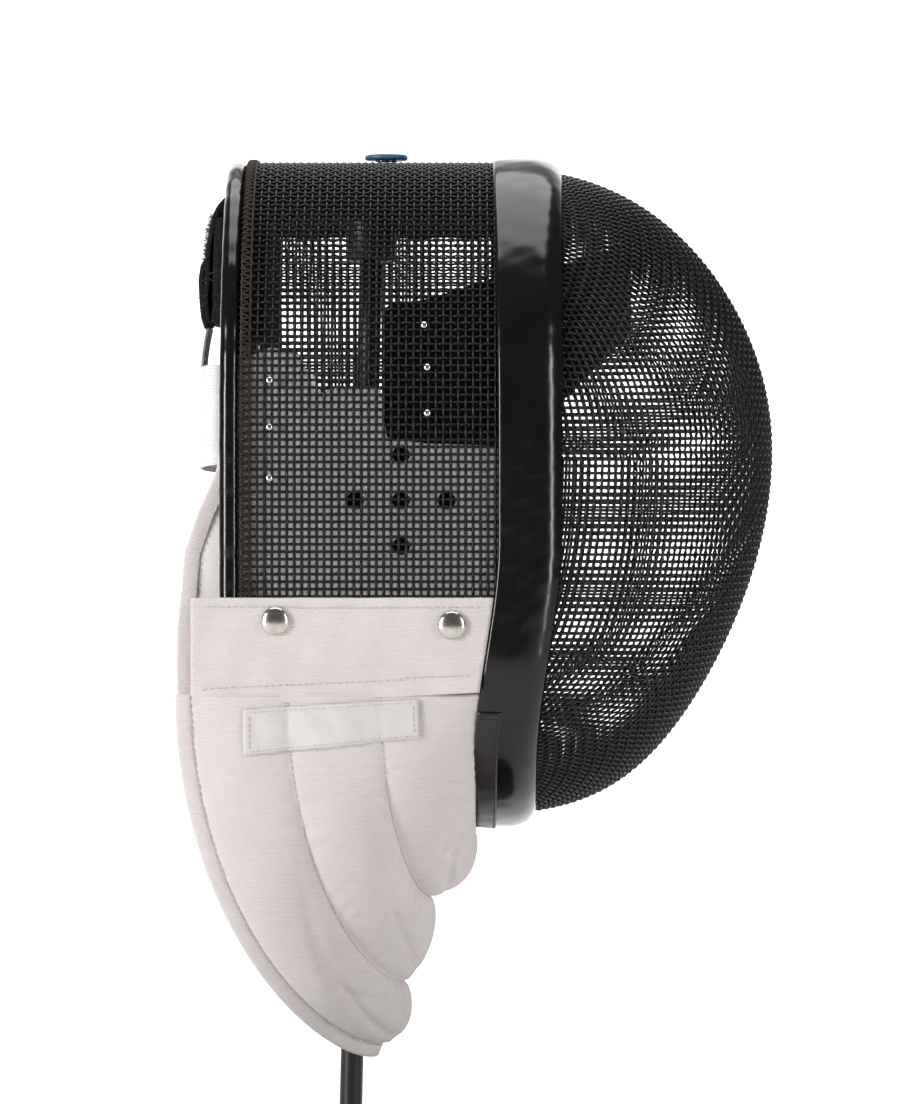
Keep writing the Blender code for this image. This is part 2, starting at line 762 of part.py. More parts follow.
def build_crown_button():
    seat = CROWN_Z + GAP
    disc = [(0.0, WASHER_THICKNESS), (WASHER_RADIUS, WASHER_THICKNESS), (WASHER_RADIUS, 0.0), (0.0, 0.0)]
    turned("crown_washer", disc, NICKEL, (0.0, BUTTON_Y, seat))
    button_z = seat + WASHER_THICKNESS + GAP
    turned("crown_button", domed_profile(BUTTON_RADIUS, BUTTON_HEIGHT), BLUE_PLASTIC,
           (0.0, BUTTON_Y, button_z))


def build_fasteners(side_name, side):
    quarter = math.copysign(math.pi / 2.0, side)
    for place, y, z in STUDS:
        x = outline_x(z) + BAND_THICKNESS + 2.0 * GAP
        turned(f"band_stud_{place}_{side_name}", domed_profile(STUD_RADIUS, STUD_HEIGHT), NICKEL,
               (side * x, y, z), (0.0, quarter, 0.0))
    for name, y, z in RIVETS:
        turn = math.atan2(z - SPRING_Z, outline_x(z))
        normal = outline_normal(turn)
        x, z_seat = outline_point(turn)
        seat = Vector((x, y, z_seat)) + normal * GAP
        tilt = math.atan2(normal.x, normal.z)
        turned(f"{name}_{side_name}", domed_profile(RIVET_RADIUS, RIVET_HEIGHT, 3), NICKEL,
               (side * seat.x, seat.y, seat.z), (0.0, side * tilt, 0.0), sides=RIVET_SIDES)


# Stand

def pole_centre_y(z):
    return -math.tan(math.radians(POLE_LEAN_DEGREES)) * z


def build_stand():
    profile = [(0.0, BASE_HEIGHT), (BASE_RADIUS - BASE_EDGE, BASE_HEIGHT),
               (BASE_RADIUS, BASE_HEIGHT - BASE_EDGE), (BASE_RADIUS, 0.0), (0.0, 0.0)]
    turned("stand_base", profile, BLACK_METAL, (0.0, 0.0, 0.0), sides=BASE_SIDES)
    foot, top = BASE_HEIGHT + GAP, BLOCK_FOOT_Z - GAP
    sections = []
    for z in (foot, top):
        sections.append([(POLE_RADIUS * math.cos(2.0 * math.pi * i / TURNED_SIDES),
                          pole_centre_y(z) + POLE_RADIUS * math.sin(2.0 * math.pi * i / TURNED_SIDES), z)
                         for i in range(TURNED_SIDES)])
    ring_loft("stand_pole", sections, BLACK_METAL)
    pad_under = CROWN_Z - MESH_WALL - FACET_GAP - CROWN_FOAM
    sag = (CROWN_Z - SPRING_Z) * (1.0 - math.sqrt(1.0 - (BLOCK_RADIUS / HALF_WIDTH) ** 2))
    height = pad_under - sag - GAP - BLOCK_FOOT_Z
    block = [(0.0, height), (BLOCK_RADIUS, height), (BLOCK_RADIUS, 0.0), (0.0, 0.0)]
    turned("stand_block", block, BLACK_METAL, (0.0, pole_centre_y(BLOCK_FOOT_Z), BLOCK_FOOT_Z))


for old in list(bpy.data.objects):
    bpy.data.objects.remove(old, do_unlink=True)

MASK = bpy.data.collections.new("fencing_mask")
CUTTERS = bpy.data.collections.new("cutters")
bpy.context.scene.collection.children.link(MASK)
bpy.context.scene.collection.children.link(CUTTERS)

BLACK_WIRE = make_material("black_wire", (0.02, 0.02, 0.02), 0.5, 0.6)
BLACK_VINYL = make_material("black_vinyl", (0.012, 0.012, 0.013), 0.25)
BROWN_VINYL = make_material("brown_vinyl", (0.05, 0.045, 0.042), 0.35)
WHITE_CLOTH = make_material("white_cloth", (0.78, 0.75, 0.74), 0.9)
BLACK_FOAM = make_material("black_foam", (0.01, 0.01, 0.012), 0.95)
BLACK_WEB = make_material("black_webbing", (0.012, 0.012, 0.014), 0.9)
GREY_WEB = make_material("grey_webbing", (0.35, 0.35, 0.36), 0.9)
BLUE_PLASTIC = make_material("blue_plastic", (0.045, 0.13, 0.26), 0.35)
NICKEL = make_material("nickel", (0.72, 0.70, 0.66), 0.2, 1.0)
BLACK_METAL = make_material("black_metal", (0.015, 0.015, 0.016), 0.4, 0.8)

build_face_mesh()
build_side_mesh()
build_trim()
build_trim_flap()
build_rim_binding()
build_bib()
build_bib_binding()
build_label()
build_crown_pad()
build_forehead_pad()
build_elastic_strap()
build_back_strap()
build_strap_loop()
build_crown_button()
for side_name, side in (("right", -1.0), ("left", 1.0)):
    build_bib_band(f"bib_band_{side_name}", side)
    build_liner(f"liner_{side_name}", side)
    build_fasteners(side_name, side)
build_stand()
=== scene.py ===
# Fencing mask on a plain display stand: finish of every surface.
# Metres, +Z up. The face looks along -Y and the wearer's right is at -X.

import math

import bmesh
import bpy
import numpy as np
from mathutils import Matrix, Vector


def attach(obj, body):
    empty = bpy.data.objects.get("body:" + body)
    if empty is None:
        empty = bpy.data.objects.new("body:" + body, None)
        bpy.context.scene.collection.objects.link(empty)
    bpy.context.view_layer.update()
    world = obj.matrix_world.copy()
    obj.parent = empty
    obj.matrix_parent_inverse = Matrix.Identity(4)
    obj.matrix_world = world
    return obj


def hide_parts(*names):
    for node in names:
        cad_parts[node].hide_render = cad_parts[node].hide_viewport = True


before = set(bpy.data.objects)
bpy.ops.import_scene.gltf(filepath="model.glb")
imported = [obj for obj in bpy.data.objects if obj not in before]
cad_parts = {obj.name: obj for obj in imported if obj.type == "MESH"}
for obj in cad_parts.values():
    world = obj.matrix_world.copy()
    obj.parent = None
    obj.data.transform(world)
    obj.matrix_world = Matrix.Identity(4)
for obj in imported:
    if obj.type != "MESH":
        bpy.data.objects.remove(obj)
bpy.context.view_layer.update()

rng = np.random.default_rng(7)

# Front outline of the mask, the outer face of the side mesh
HALF_WIDTH = 0.0985
JAW_HALF_WIDTH = 0.0965
CROWN_Z = 0.475
SPRING_Z = 0.350
JAW_Z = 0.265
CHIN_Z = 0.1875

# Woven wire
WIRE_RADIUS = 0.00064
WIRE_PITCH = 0.0031
WIRE_SIDES = 4
# Share of the wire's radius that it rises at a crossing
WIRE_RISE = 0.90
# Wires of the face on each side of its tip, counting the one through it
NET_ACROSS = 62
NET_UP = 66
NET_DOWN = 84
MESH_WALL = 0.002
SIDE_MESH_HEM_Z = 0.249
SIDE_MESH_REAR_Y = 0.0423

# Joint between side mesh and face mesh, seen from the side
JOINT_UPPER_Y = -0.078
JOINT_LOWER_Y = -0.068
JOINT_BEND_TOP_Z = 0.310
JOINT_BEND_LOW_Z = 0.215

# Domed face
DOME_TIP_Y = -0.1855
DOME_INSET = 0.003
DOME_EDGE_SHARE = 0.9961
DOME_CROWN_ROOT = 2.25
DOME_CHIN_ROOT = 3.1
DOME_CROWN_FLATTEN = 0.08
DOME_CHIN_FLATTEN = 0.25

# Glossy vinyl band over the joint
TRIM_SIDE_REACH = 0.0133
TRIM_CROWN_EXTRA = 0.0014
TRIM_LEAN = 0.35
TRIM_STEPS = 480
TRIM_ROWS = 25
# Share of the reach behind (+) or before (-) the joint, and cover over the mesh
TRIM_SECTION = (
    (1.00, 0.0009),
    (0.92, 0.0015),
    (0.62, 0.0018),
    (0.25, 0.0020),
    (0.00, 0.0022),
    (-0.30, 0.0025),
    (-0.60, 0.0024),
    (-0.85, 0.0017),
    (-1.00, 0.0008),
)
FLAP_TOP_Z = 0.239
FLAP_THICKNESS = 0.0004
FLAP_STEPS = 150
FLAP_ROWS = 11

RIM_RADIUS = 0.0044
RIM_FOOT_Z = 0.251
RIM_STEPS = 420
RIM_SIDES = 20
# Whip stitches along the rear edge of the side mesh, and the cord that they hold
WHIP_FRONT_REACH = 0.0036
WHIP_REAR_REACH = 0.0006
WHIP_RADIUS = 0.00042
WHIP_JITTER = 0.00022
WHIP_POINTS = 7
EDGE_CORD_RADIUS = 0.0005

BAND_TOP_Z = 0.286
BAND_FOOT_Z = 0.2462
BAND_REAR_Y = 0.063
BAND_THICKNESS = 0.0016
BAND_FOOT_FRONT_Z = 0.2466
BAND_FOOT_REAR_Z = 0.2402
BAND_HEM_HEIGHT = 0.0072
BAND_HEM_STEP = 0.0005
BAND_TOP_SEAM = 0.0040
BAND_FOOT_BULGE = 0.0024
BAND_BULGE_HEIGHT = 0.010
BAND_SEAM_DEPTH = 0.00035
BAND_SEAM_WIDTH = 0.0008
BAND_LEVELS = 61
BAND_COLUMNS = 76
GAP = 0.0003
FACET_GAP = 0.0007

# Padded bib in nested U channels
BIB_TOP_Z = 0.2458
BIB_HALF_WIDTH = 0.0985
BIB_WALL = 0.0060
BIB_SIDE_PUFF = 0.0018
BIB_FRONT_PUFF = 0.0075
BIB_SWEEP_POWER = 1.35
# Seams and edge: Y where they start at the side, Y and Z where they cross the middle
BIB_SEAMS = (
    (-0.0158, -0.0360, 0.1555),
    (0.0228, -0.0247, 0.1180),
    (0.0630, -0.0150, 0.0906),
)
BIB_CHIN_DROP = 0.0066
BIB_EDGE_GAP = -0.0010
BINDING_WIDTH = 0.0066
BINDING_THICKNESS = 0.0046
BINDING_OVERLAP = 0.0012
BINDING_LIFT = 0.0006
BIB_ROWS_A_CHANNEL = 26
BIB_SWINGS = 221
BIB_STITCH_STEPS = 400

LABEL_REAR_Y = 0.0410
LABEL_FRONT_Y = -0.0315
LABEL_FRONT_TOP_Z = 0.2440
LABEL_REAR_TOP_Z = 0.2398
LABEL_FRONT_HEIGHT = 0.0158
LABEL_REAR_HEIGHT = 0.0192
LABEL_LIFT = 0.0011
LABEL_RIPPLE = 0.00018
LABEL_WALL = 0.0005

# Inner liner beside the ears
LINER_WALL = 0.0015
LINER_FOOT_Z = 0.262
LINER_BEND_Y = 0.0300
LINER_BEND_END_Y = 0.0415
LINER_TAIL_SWEEP = 0.0030
LINER_TAIL_RISE = 0.038
LINER_TAIL_LAP = 0.006
EAR_HOLE_RADIUS = 0.0041
EAR_CENTRE_Y = -0.0245
EAR_CENTRE_Z = 0.3265
EAR_HOLE_SPREAD = 0.0190
EAR_RIM_RADIUS = 0.00055
EAR_BACKING_LAP = 0.0009
EAR_BACKING_THICKNESS = 0.0004
LINER_TAPE_HALF_WIDTH = 0.0037
LINER_TAPE_HALF_THICKNESS = 0.0013
LINER_COLUMNS = 97
LINER_LEVELS = 85
# Y of each upright, and Z of the liner's upper edge there
LINER_EDGE = (
    (-0.0665, 0.3492),
    (-0.0340, 0.3502),
    (-0.0174, 0.3530),
    (-0.0168, 0.3738),
    (0.0040, 0.3735),
    (0.0110, 0.3700),
    (0.0180, 0.3880),
    (LINER_BEND_Y, 0.3905),
    (LINER_BEND_END_Y, 0.3860),
    (0.0520, 0.3380),
    (0.0600, 0.3200),
    (0.0655, 0.3040),
)

# Foam pads
PAD_FOAM = 0.0060
CROWN_FOAM = 0.0050
PAD_ROUNDING = 0.0014
CROWN_PAD_SIDE_Z = 0.45125
CROWN_PAD_LEG_Z = 0.395
CROWN_PAD_FRONT_Y = -0.066
CROWN_PAD_REAR_Y = 0.0415
CROWN_PAD_LEG_Y = 0.0325
# Share of the half width, Y, then lower and upper edge as shares of the arch's rise
FOREHEAD_ROWS = (
    (1.00, -0.0175, 0.024, 0.464),
    (1.00, -0.0340, 0.000, 0.488),
    (1.00, -0.0520, -0.008, 0.532),
    (0.985, -0.0740, 0.048, 0.584),
    (0.93, -0.0930, 0.160, 0.616),
    (0.80, -0.1060, 0.264, 0.640),
    (0.58, -0.1160, 0.336, 0.672),
    (0.30, -0.1220, 0.392, 0.704),
    (0.00, -0.1240, 0.416, 0.720),
)

# Elastic strap across the back
STRAP_TOP_Z = 0.3835
STRAP_WIDTH = 0.0420
STRAP_THICKNESS = 0.0016
STRAP_BACK_Y = 0.0635
STRAP_FRONT_Y = 0.0220
STRAP_BULGE = 0.8

# Black strap and grey loop in the middle of the back
BACK_STRAP_WIDTH = 0.0380
BACK_STRAP_THICKNESS = 0.0024
BACK_STRAP_BEND_Z = 0.445
BACK_STRAP_BEND_RISE = 0.015
# Y and Z along the middle of the black strap, from the crown pad down
BACK_STRAP_PATH = (
    (0.0180, 0.4648),
    (0.0340, 0.4648),
    (0.0480, 0.4630),
    (0.0545, 0.4570),
    (0.0580, 0.4480),
    (0.0595, 0.4370),
    (0.0606, 0.4240),
    (0.0608, 0.4120),
    (0.0600, 0.4035),
)
# Layers of its folded end: Y and Z down the middle, and thickness
BACK_STRAP_FOLDS = {
    "back_strap_inner_fold": (((0.0550, 0.4500), (0.0556, 0.4400), (0.0560, 0.4250), (0.0560, 0.4100),
                               (0.0572, 0.4040)), 0.0038),
    "back_strap_outer_fold": (((0.0606, 0.4315), (0.0622, 0.4285), (0.0631, 0.4230), (0.0627, 0.4140),
                               (0.0620, 0.4070), (0.0606, 0.4020)), 0.0022),
}
LOOP_WIDTH = 0.0300
LOOP_THICKNESS = 0.0014
FUZZ_COUNT = 900
FUZZ_RADIUS = 0.00011

# Blue button on the crown
BUTTON_Y = -0.017
BUTTON_RADIUS = 0.0094
BUTTON_HEIGHT = 0.0022
BUTTON_FILLET = 0.0009
WASHER_RADIUS = 0.0048
WASHER_THICKNESS = 0.0005

# Studs on the upper band, and small rivets on the side mesh
STUD_RADIUS = 0.0060
STUD_HEIGHT = 0.0030
STUDS = (("rear", 0.0278, 0.2764), ("front", -0.0456, 0.2747))
RIVET_RADIUS = 0.0015
RIVET_HEIGHT = 0.0011
RIVETS = (
    ("strap_rivet_upper", 0.0303, 0.3764),
    ("strap_rivet_middle", 0.0303, 0.3569),
    ("strap_rivet_lower", 0.0303, 0.3357),
    ("pad_rivet_upper", -0.0340, 0.3996),
    ("pad_rivet_middle", -0.0353, 0.3818),
    ("pad_rivet_lower", -0.0353, 0.3627),
)

# Plain stand: disc, leaning rod and block under the crown pad
BASE_RADIUS = 0.110
BASE_HEIGHT = 0.008
BASE_EDGE = 0.0015
POLE_RADIUS = 0.005
POLE_LEAN_DEGREES = 1.36
BLOCK_RADIUS = 0.011
BLOCK_FOOT_Z = 0.432
STAND_FILLET = 0.001

# Camera, 2 m from the mask's middle plane and level with it
CAMERA_DISTANCE = 2.0
CAMERA_Y = -0.0448
CAMERA_Z = 0.305
VIEW_HEIGHT = 0.4824
SENSOR_MM = 36.0

# Studio floor, which curves up into the backdrop
FLOOR_NEAR_X = -2.4
FLOOR_BEND_X = 1.6
FLOOR_BEND_RADIUS = 0.9
BACKDROP_FOOT_Z = 1.2
BACKDROP_TOP_Z = 3.4
FLOOR_HALF_WIDTH = 3.2
FLOOR_ROWS = 9
BACKDROP_ROWS = 6
BEND_ROWS = 12
WARM = (1.0, 0.975, 0.96)


def make_camera():
    data = bpy.data.cameras.new("camera")
    data.sensor_fit = "VERTICAL"
    data.sensor_height = SENSOR_MM
    data.lens = SENSOR_MM * CAMERA_DISTANCE / VIEW_HEIGHT
    camera = bpy.data.objects.new("camera", data)
    camera.location = (-CAMERA_DISTANCE, CAMERA_Y, CAMERA_Z)
    camera.rotation_euler = (math.pi / 2.0, 0.0, -math.pi / 2.0)
    bpy.context.scene.collection.objects.link(camera)
    bpy.context.scene.camera = camera


def mix(a, b, share):
    return a + (b - a) * share


def smooth_step(share):
    share = np.clip(share, 0.0, 1.0)
    return share * share * (3.0 - 2.0 * share)


def unit(vectors):
    return vectors / np.maximum(np.linalg.norm(vectors, axis=-1, keepdims=True), 1e-12)


def powered(value, power):
    """Power of a number that keeps its sign."""
    return math.copysign(abs(value) ** power, value)


def smoothed(values, width):
    """Running mean over an odd width, with the ends kept."""
    half = width // 2
    values[half:-half] = np.convolve(values, np.ones(width) / width, "valid")
    return values


# Front outline

def outline_x(z, inset=0.0):
    """Half width of the front outline at height z."""
    z = np.asarray(z, float)
    rise = CROWN_Z - SPRING_Z - inset
    arch = (HALF_WIDTH - inset) * np.sqrt(np.clip(1.0 - ((z - SPRING_Z) / rise) ** 2, 0.0, None))
    flank = mix(HALF_WIDTH, JAW_HALF_WIDTH, (SPRING_Z - z) / (SPRING_Z - JAW_Z)) - inset
    drop = JAW_Z - CHIN_Z - inset
    jaw = (JAW_HALF_WIDTH - inset) * np.sqrt(np.clip(1.0 - ((JAW_Z - z) / drop) ** 2, 0.0, None))
    return np.where(z >= SPRING_Z, arch, np.where(z >= JAW_Z, flank, jaw))


def outline_radius(turn, inset=0.0):
    """Distance from the face's centre line to the front outline, by angle from +X."""
    cos, sin = np.abs(np.cos(turn)), np.sin(turn)
    wide, high = HALF_WIDTH - inset, CROWN_Z - SPRING_Z - inset
    arch = 1.0 / np.sqrt((cos / wide) ** 2 + (sin / high) ** 2)
    taper = (HALF_WIDTH - JAW_HALF_WIDTH) / (SPRING_Z - JAW_Z)
    flank = wide / np.maximum(cos - taper * sin, 1e-6)
    wide, high = JAW_HALF_WIDTH - inset, JAW_Z - CHIN_Z - inset
    low = SPRING_Z - JAW_Z
    a = (cos / wide) ** 2 + (sin / high) ** 2
    b = 2.0 * sin * low / high ** 2
    c = (low / high) ** 2 - 1.0
    jaw = (-b + np.sqrt(np.maximum(b * b - 4.0 * a * c, 0.0))) / (2.0 * a)
    lower = np.where(flank * -sin <= low, flank, jaw)
    return np.where(sin >= 0.0, arch, lower)


def outline_point(turn, inset=0.0):
    radius = outline_radius(turn, inset)
    return radius * np.cos(turn), SPRING_Z + radius * np.sin(turn)


def outline_normal(turn):
    """Outward direction of the front outline, as X and Z."""
    step = 0.004
    x0, z0 = outline_point(turn - step)
    x1, z1 = outline_point(turn + step)
    length = np.hypot(z1 - z0, x0 - x1)
    return (z1 - z0) / length, (x0 - x1) / length


def arch_line(foot_z, count, inset=0.0):
    """Points and normals from the right foot over the crown to the left, evenly spaced."""
    foot = math.atan2(foot_z - SPRING_Z, float(outline_x(foot_z)))
    turn = np.linspace(math.pi - foot, foot, 1601)
    x, z = outline_point(turn)
    nx, nz = outline_normal(turn)
    x, z = x - nx * inset, z - nz * inset
    length = np.concatenate([[0.0], np.cumsum(np.hypot(np.diff(x), np.diff(z)))])
    if count is None:
        count = int(length[-1] / WIRE_PITCH) * 2 + 1
    even = np.linspace(0.0, length[-1], count)
    return [np.interp(even, length, column) for column in (x, z, nx, nz)]


def joint_y(z):
    share = (JOINT_BEND_TOP_Z - z) / (JOINT_BEND_TOP_Z - JOINT_BEND_LOW_Z)
    return mix(JOINT_UPPER_Y, JOINT_LOWER_Y, smooth_step(share))


def trim_reach(turn):
    return TRIM_SIDE_REACH + TRIM_CROWN_EXTRA * np.maximum(np.sin(turn), 0.0) ** 2


def trim_rear_y(z):
    return joint_y(z) + TRIM_SIDE_REACH


# Domed face, charted by an angle that is 0 at the tip

DOME_EDGE_ANGLE = math.asin(DOME_EDGE_SHARE)


def dome_surface(a, b, inset=0.0):
    """Point of the dome from chart coordinates whose length is the angle from the tip."""
    turn, angle = np.arctan2(b, a), np.hypot(a, b)
    share = np.sin(angle) / DOME_EDGE_SHARE
    height = 1.0 - ((1.0 - np.sin(turn)) / 2.0) ** 2
    root = mix(DOME_CHIN_ROOT, DOME_CROWN_ROOT, height)
    flatten = mix(DOME_CHIN_FLATTEN, DOME_CROWN_FLATTEN, height)
    at_edge = 1.0 - (1.0 - DOME_EDGE_SHARE ** 2) ** (1.0 / root)
    here = 1.0 - np.abs(np.cos(angle)) ** (2.0 / root)
    depth_share = here / at_edge + flatten * share ** 2 * (1.0 - share ** 2)
    radius = outline_radius(turn, DOME_INSET)
    depth = joint_y(SPRING_Z + radius * np.sin(turn)) - DOME_TIP_Y
    x = radius * np.cos(turn) * share
    z = SPRING_Z + radius * np.sin(turn) * share
    point = np.stack([x, DOME_TIP_Y + depth * depth_share, z], axis=-1)
    if inset:
        point = point - dome_normal(a, b) * inset
    return point


def dome_normal(a, b):
    step = 0.002
    along_a = dome_surface(a + step, b) - dome_surface(a - step, b)
    along_b = dome_surface(a, b + step) - dome_surface(a, b - step)
    return unit(np.cross(along_a, along_b))


def dome_point_before_joint(turn, distance):
    """Point of the dome that lies a distance along -Y from the joint."""
    low = np.full_like(turn, 0.4)
    high = np.full_like(turn, DOME_EDGE_ANGLE)
    cos, sin = np.cos(turn), np.sin(turn)
    target = dome_surface(high * cos, high * sin)[..., 1] - distance
    for _ in range(30):
        middle = (low + high) / 2.0
        short = dome_surface(middle * cos, middle * sin)[..., 1] < target
        low = np.where(short, middle, low)
        high = np.where(short, high, middle)
    return dome_surface(high * cos, high * sin)


# Making meshes

# Threads and fuzz are painted with the cloth or vinyl that they are sewn to
SLOT_OF = {"white_thread": "white_cloth", "dark_thread": "black_vinyl", "grey_fuzz": "black_webbing"}


def new_piece(name, mesh, material, *nodes):
    piece = bpy.data.objects.new(name, mesh)
    bpy.context.scene.collection.objects.link(piece)
    mesh.materials.append(material)
    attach(piece, "root")
    if nodes:
        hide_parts(*nodes)
    return piece


def mesh_from_faces(name, points, quads, triangles=None):
    mesh = bpy.data.meshes.new(name)
    triangles = np.zeros((0, 3), int) if triangles is None else triangles
    mesh.vertices.add(len(points))
    mesh.vertices.foreach_set("co", np.asarray(points, np.float32).ravel())
    loops = np.concatenate([quads.ravel(), triangles.ravel()])
    mesh.loops.add(len(loops))
    mesh.loops.foreach_set("vertex_index", loops.astype(np.int32))
    count = len(quads) + len(triangles)
    mesh.polygons.add(count)
    starts = np.concatenate([np.arange(len(quads)) * 4, len(quads) * 4 + np.arange(len(triangles)) * 3])
    mesh.polygons.foreach_set("loop_start", starts.astype(np.int32))
    mesh.update(calc_edges=True)
    mesh.validate()
    mesh.shade_smooth()
    return mesh


def grid_quads(rows, columns, closed_rows=False, closed_columns=False, start=0):
    r = np.arange(rows if closed_rows else rows - 1)[:, None]
    c = np.arange(columns if closed_columns else columns - 1)[None, :]
    r1, c1 = (r + 1) % rows, (c + 1) % columns
    corners = [r * columns + c, r * columns + c1, r1 * columns + c1, r1 * columns + c]
    return np.stack(corners, axis=-1).reshape(-1, 4) + start


def grid_mesh(name, grid, closed_rows=False, closed_columns=False, flip=False):
    rows, columns = grid.shape[:2]
    quads = grid_quads(rows, columns, closed_rows, closed_columns)
    if flip:
        quads = quads[:, ::-1]
    return mesh_from_faces(name, grid.reshape(-1, 3), quads)


def grid_normals(grid):
    """Normals of an open grid, by differences along rows and columns."""
    return unit(np.cross(np.gradient(grid, axis=1), np.gradient(grid, axis=0)))


def add_shell(piece, wall):
    """Gives an open surface its wall, grown inwards."""
    solid = piece.modifiers.new("wall", "SOLIDIFY")
    solid.thickness = wall
    solid.offset = -1.0
    solid.use_even_offset = False


def round_edges(piece, width, segments):
    edge = piece.modifiers.new("edge", "BEVEL")
    edge.width = width
    edge.segments = segments
    edge.limit_method = "ANGLE"
    edge.angle_limit = math.radians(50.0)


def close_mesh(piece):
    """Closes each ring of open edges with one face, and turns all faces outwards."""
    bm = bmesh.new()
    bm.from_mesh(piece.data)
    rim = [edge for edge in bm.edges if edge.is_boundary]
    if rim:
        bmesh.ops.holes_fill(bm, edges=rim, sides=0)
    bmesh.ops.recalc_face_normals(bm, faces=bm.faces)
    bm.to_mesh(piece.data)
    bm.free()


def slab_mesh(name, outer, inner):
    """Closed slab between two grids that share their layout."""
    rows, columns = outer.shape[:2]
    count = rows * columns
    index = np.arange(count).reshape(rows, columns)
    loop = np.concatenate([index[0, :-1], index[:-1, -1], index[-1, :0:-1], index[:0:-1, 0]])
    after = np.roll(loop, -1)
    quads = [grid_quads(rows, columns)[:, ::-1], grid_quads(rows, columns, start=count),
             np.stack([loop, after, after + count, loop + count], axis=-1)]
    points = np.concatenate([outer.reshape(-1, 3), inner.reshape(-1, 3)])
    return mesh_from_faces(name, points, np.concatenate(quads))


def tubes_mesh(name, chains, radius, sides, caps=True):
    """Tubes along chains of points with a side direction at each point."""
    angle = 2.0 * math.pi * np.arange(sides) / sides
    cos, sin = np.cos(angle)[None, :, None], np.sin(angle)[None, :, None]
    all_points, all_quads, all_triangles, start = [], [], [], 0
    for points, normals in chains:
        along = unit(np.gradient(points, axis=0))
        beside = unit(np.cross(along, normals))
        upward = np.cross(beside, along)
        size = radius if np.ndim(radius) == 0 else radius[:, None, None]
        ring = points[:, None, :] + (beside[:, None, :] * cos + upward[:, None, :] * sin) * size
        count = len(points)
        all_points.append(ring.reshape(-1, 3))
        all_quads.append(grid_quads(count, sides, closed_columns=True, start=start)[:, ::-1])
        if caps:
            fan = np.arange(1, sides - 1)
            first = np.stack([np.zeros_like(fan), fan, fan + 1], axis=-1) + start
            last = np.stack([np.zeros_like(fan), fan + 1, fan], axis=-1) + start + (count - 1) * sides
            all_triangles += [first, last]
        start += count * sides
    triangles = np.concatenate(all_triangles) if all_triangles else None
    return mesh_from_faces(name, np.concatenate(all_points), np.concatenate(all_quads), triangles)


def turned_mesh(name, profile, sides, place, axis, squash=1.0):
    """Turned shape: columns of radius and height, standing along axis at place."""
    profile = np.asarray(profile, float)
    axis = unit(np.asarray(axis, float))
    side = unit(np.cross(axis, [0.0, 1.0, 0.0] if abs(axis[1]) < 0.9 else [1.0, 0.0, 0.0]))
    other = np.cross(axis, side)
    angle = 2.0 * math.pi * np.arange(sides) / sides
    around = np.cos(angle)[:, None] * side + np.sin(angle)[:, None] * other
    inner = profile[:, 0] > 1e-9
    rings = profile[inner]
    grid = (np.asarray(place) + rings[:, None, 0:1] * around[None, :, :]
            + rings[:, None, 1:2] * axis * squash)
    points = grid.reshape(-1, 3)
    quads = grid_quads(len(rings), sides, closed_columns=True)
    triangles = []
    spin = np.arange(sides)
    for end, ring in ((0, 0), (-1, len(rings) - 1)):
        tip = np.asarray(place) + profile[end, 1] * axis * squash
        points = np.vstack([points, tip])
        a, b = ring * sides + spin, ring * sides + (spin + 1) % sides
        tips = np.full(sides, len(points) - 1)
        triangles.append(np.stack([tips, b, a] if end == 0 else [tips, a, b], axis=-1))
    return mesh_from_faces(name, points, quads, np.concatenate(triangles))


def join_meshes(name, meshes):
    """One mesh of several, which share one material."""
    points, quads, triangles, start = [], [], [], 0
    for mesh in meshes:
        co = np.empty(len(mesh.vertices) * 3, np.float32)
        mesh.vertices.foreach_get("co", co)
        points.append(co.reshape(-1, 3))
        for polygon in mesh.polygons:
            row = np.array(polygon.vertices) + start
            (quads if len(row) == 4 else triangles).append(row)
        start += len(mesh.vertices)
        bpy.data.meshes.remove(mesh)
    return mesh_from_faces(name, np.concatenate(points), np.array(quads).reshape(-1, 4),
                           np.array(triangles, int).reshape(-1, 3))


def stitches_mesh(name, lines, pitch=0.0026, length=0.0019, radius=0.00023, lift=0.0001, sides=5):
    """Short thread stitches along lines of points and normals."""
    chains = []
    shape = np.array([-0.5, -0.36, 0.0, 0.36, 0.5])
    sink = np.array([-1.6, 0.2, 0.8, 0.2, -1.6])
    for points, normals in lines:
        steps = np.linalg.norm(np.diff(points, axis=0), axis=1)
        run = np.concatenate([[0.0], np.cumsum(steps)])
        centres = np.arange(pitch / 2.0, run[-1], pitch)
        for centre in centres:
            at = np.clip(centre + shape * length, 0.0, run[-1])
            line = np.stack([np.interp(at, run, points[:, k]) for k in range(3)], axis=-1)
            up = unit(np.stack([np.interp(at, run, normals[:, k]) for k in range(3)], axis=-1))
            chains.append((line + up * (lift + sink[:, None] * radius), up))
    return tubes_mesh(name, chains, radius, sides)


# Materials

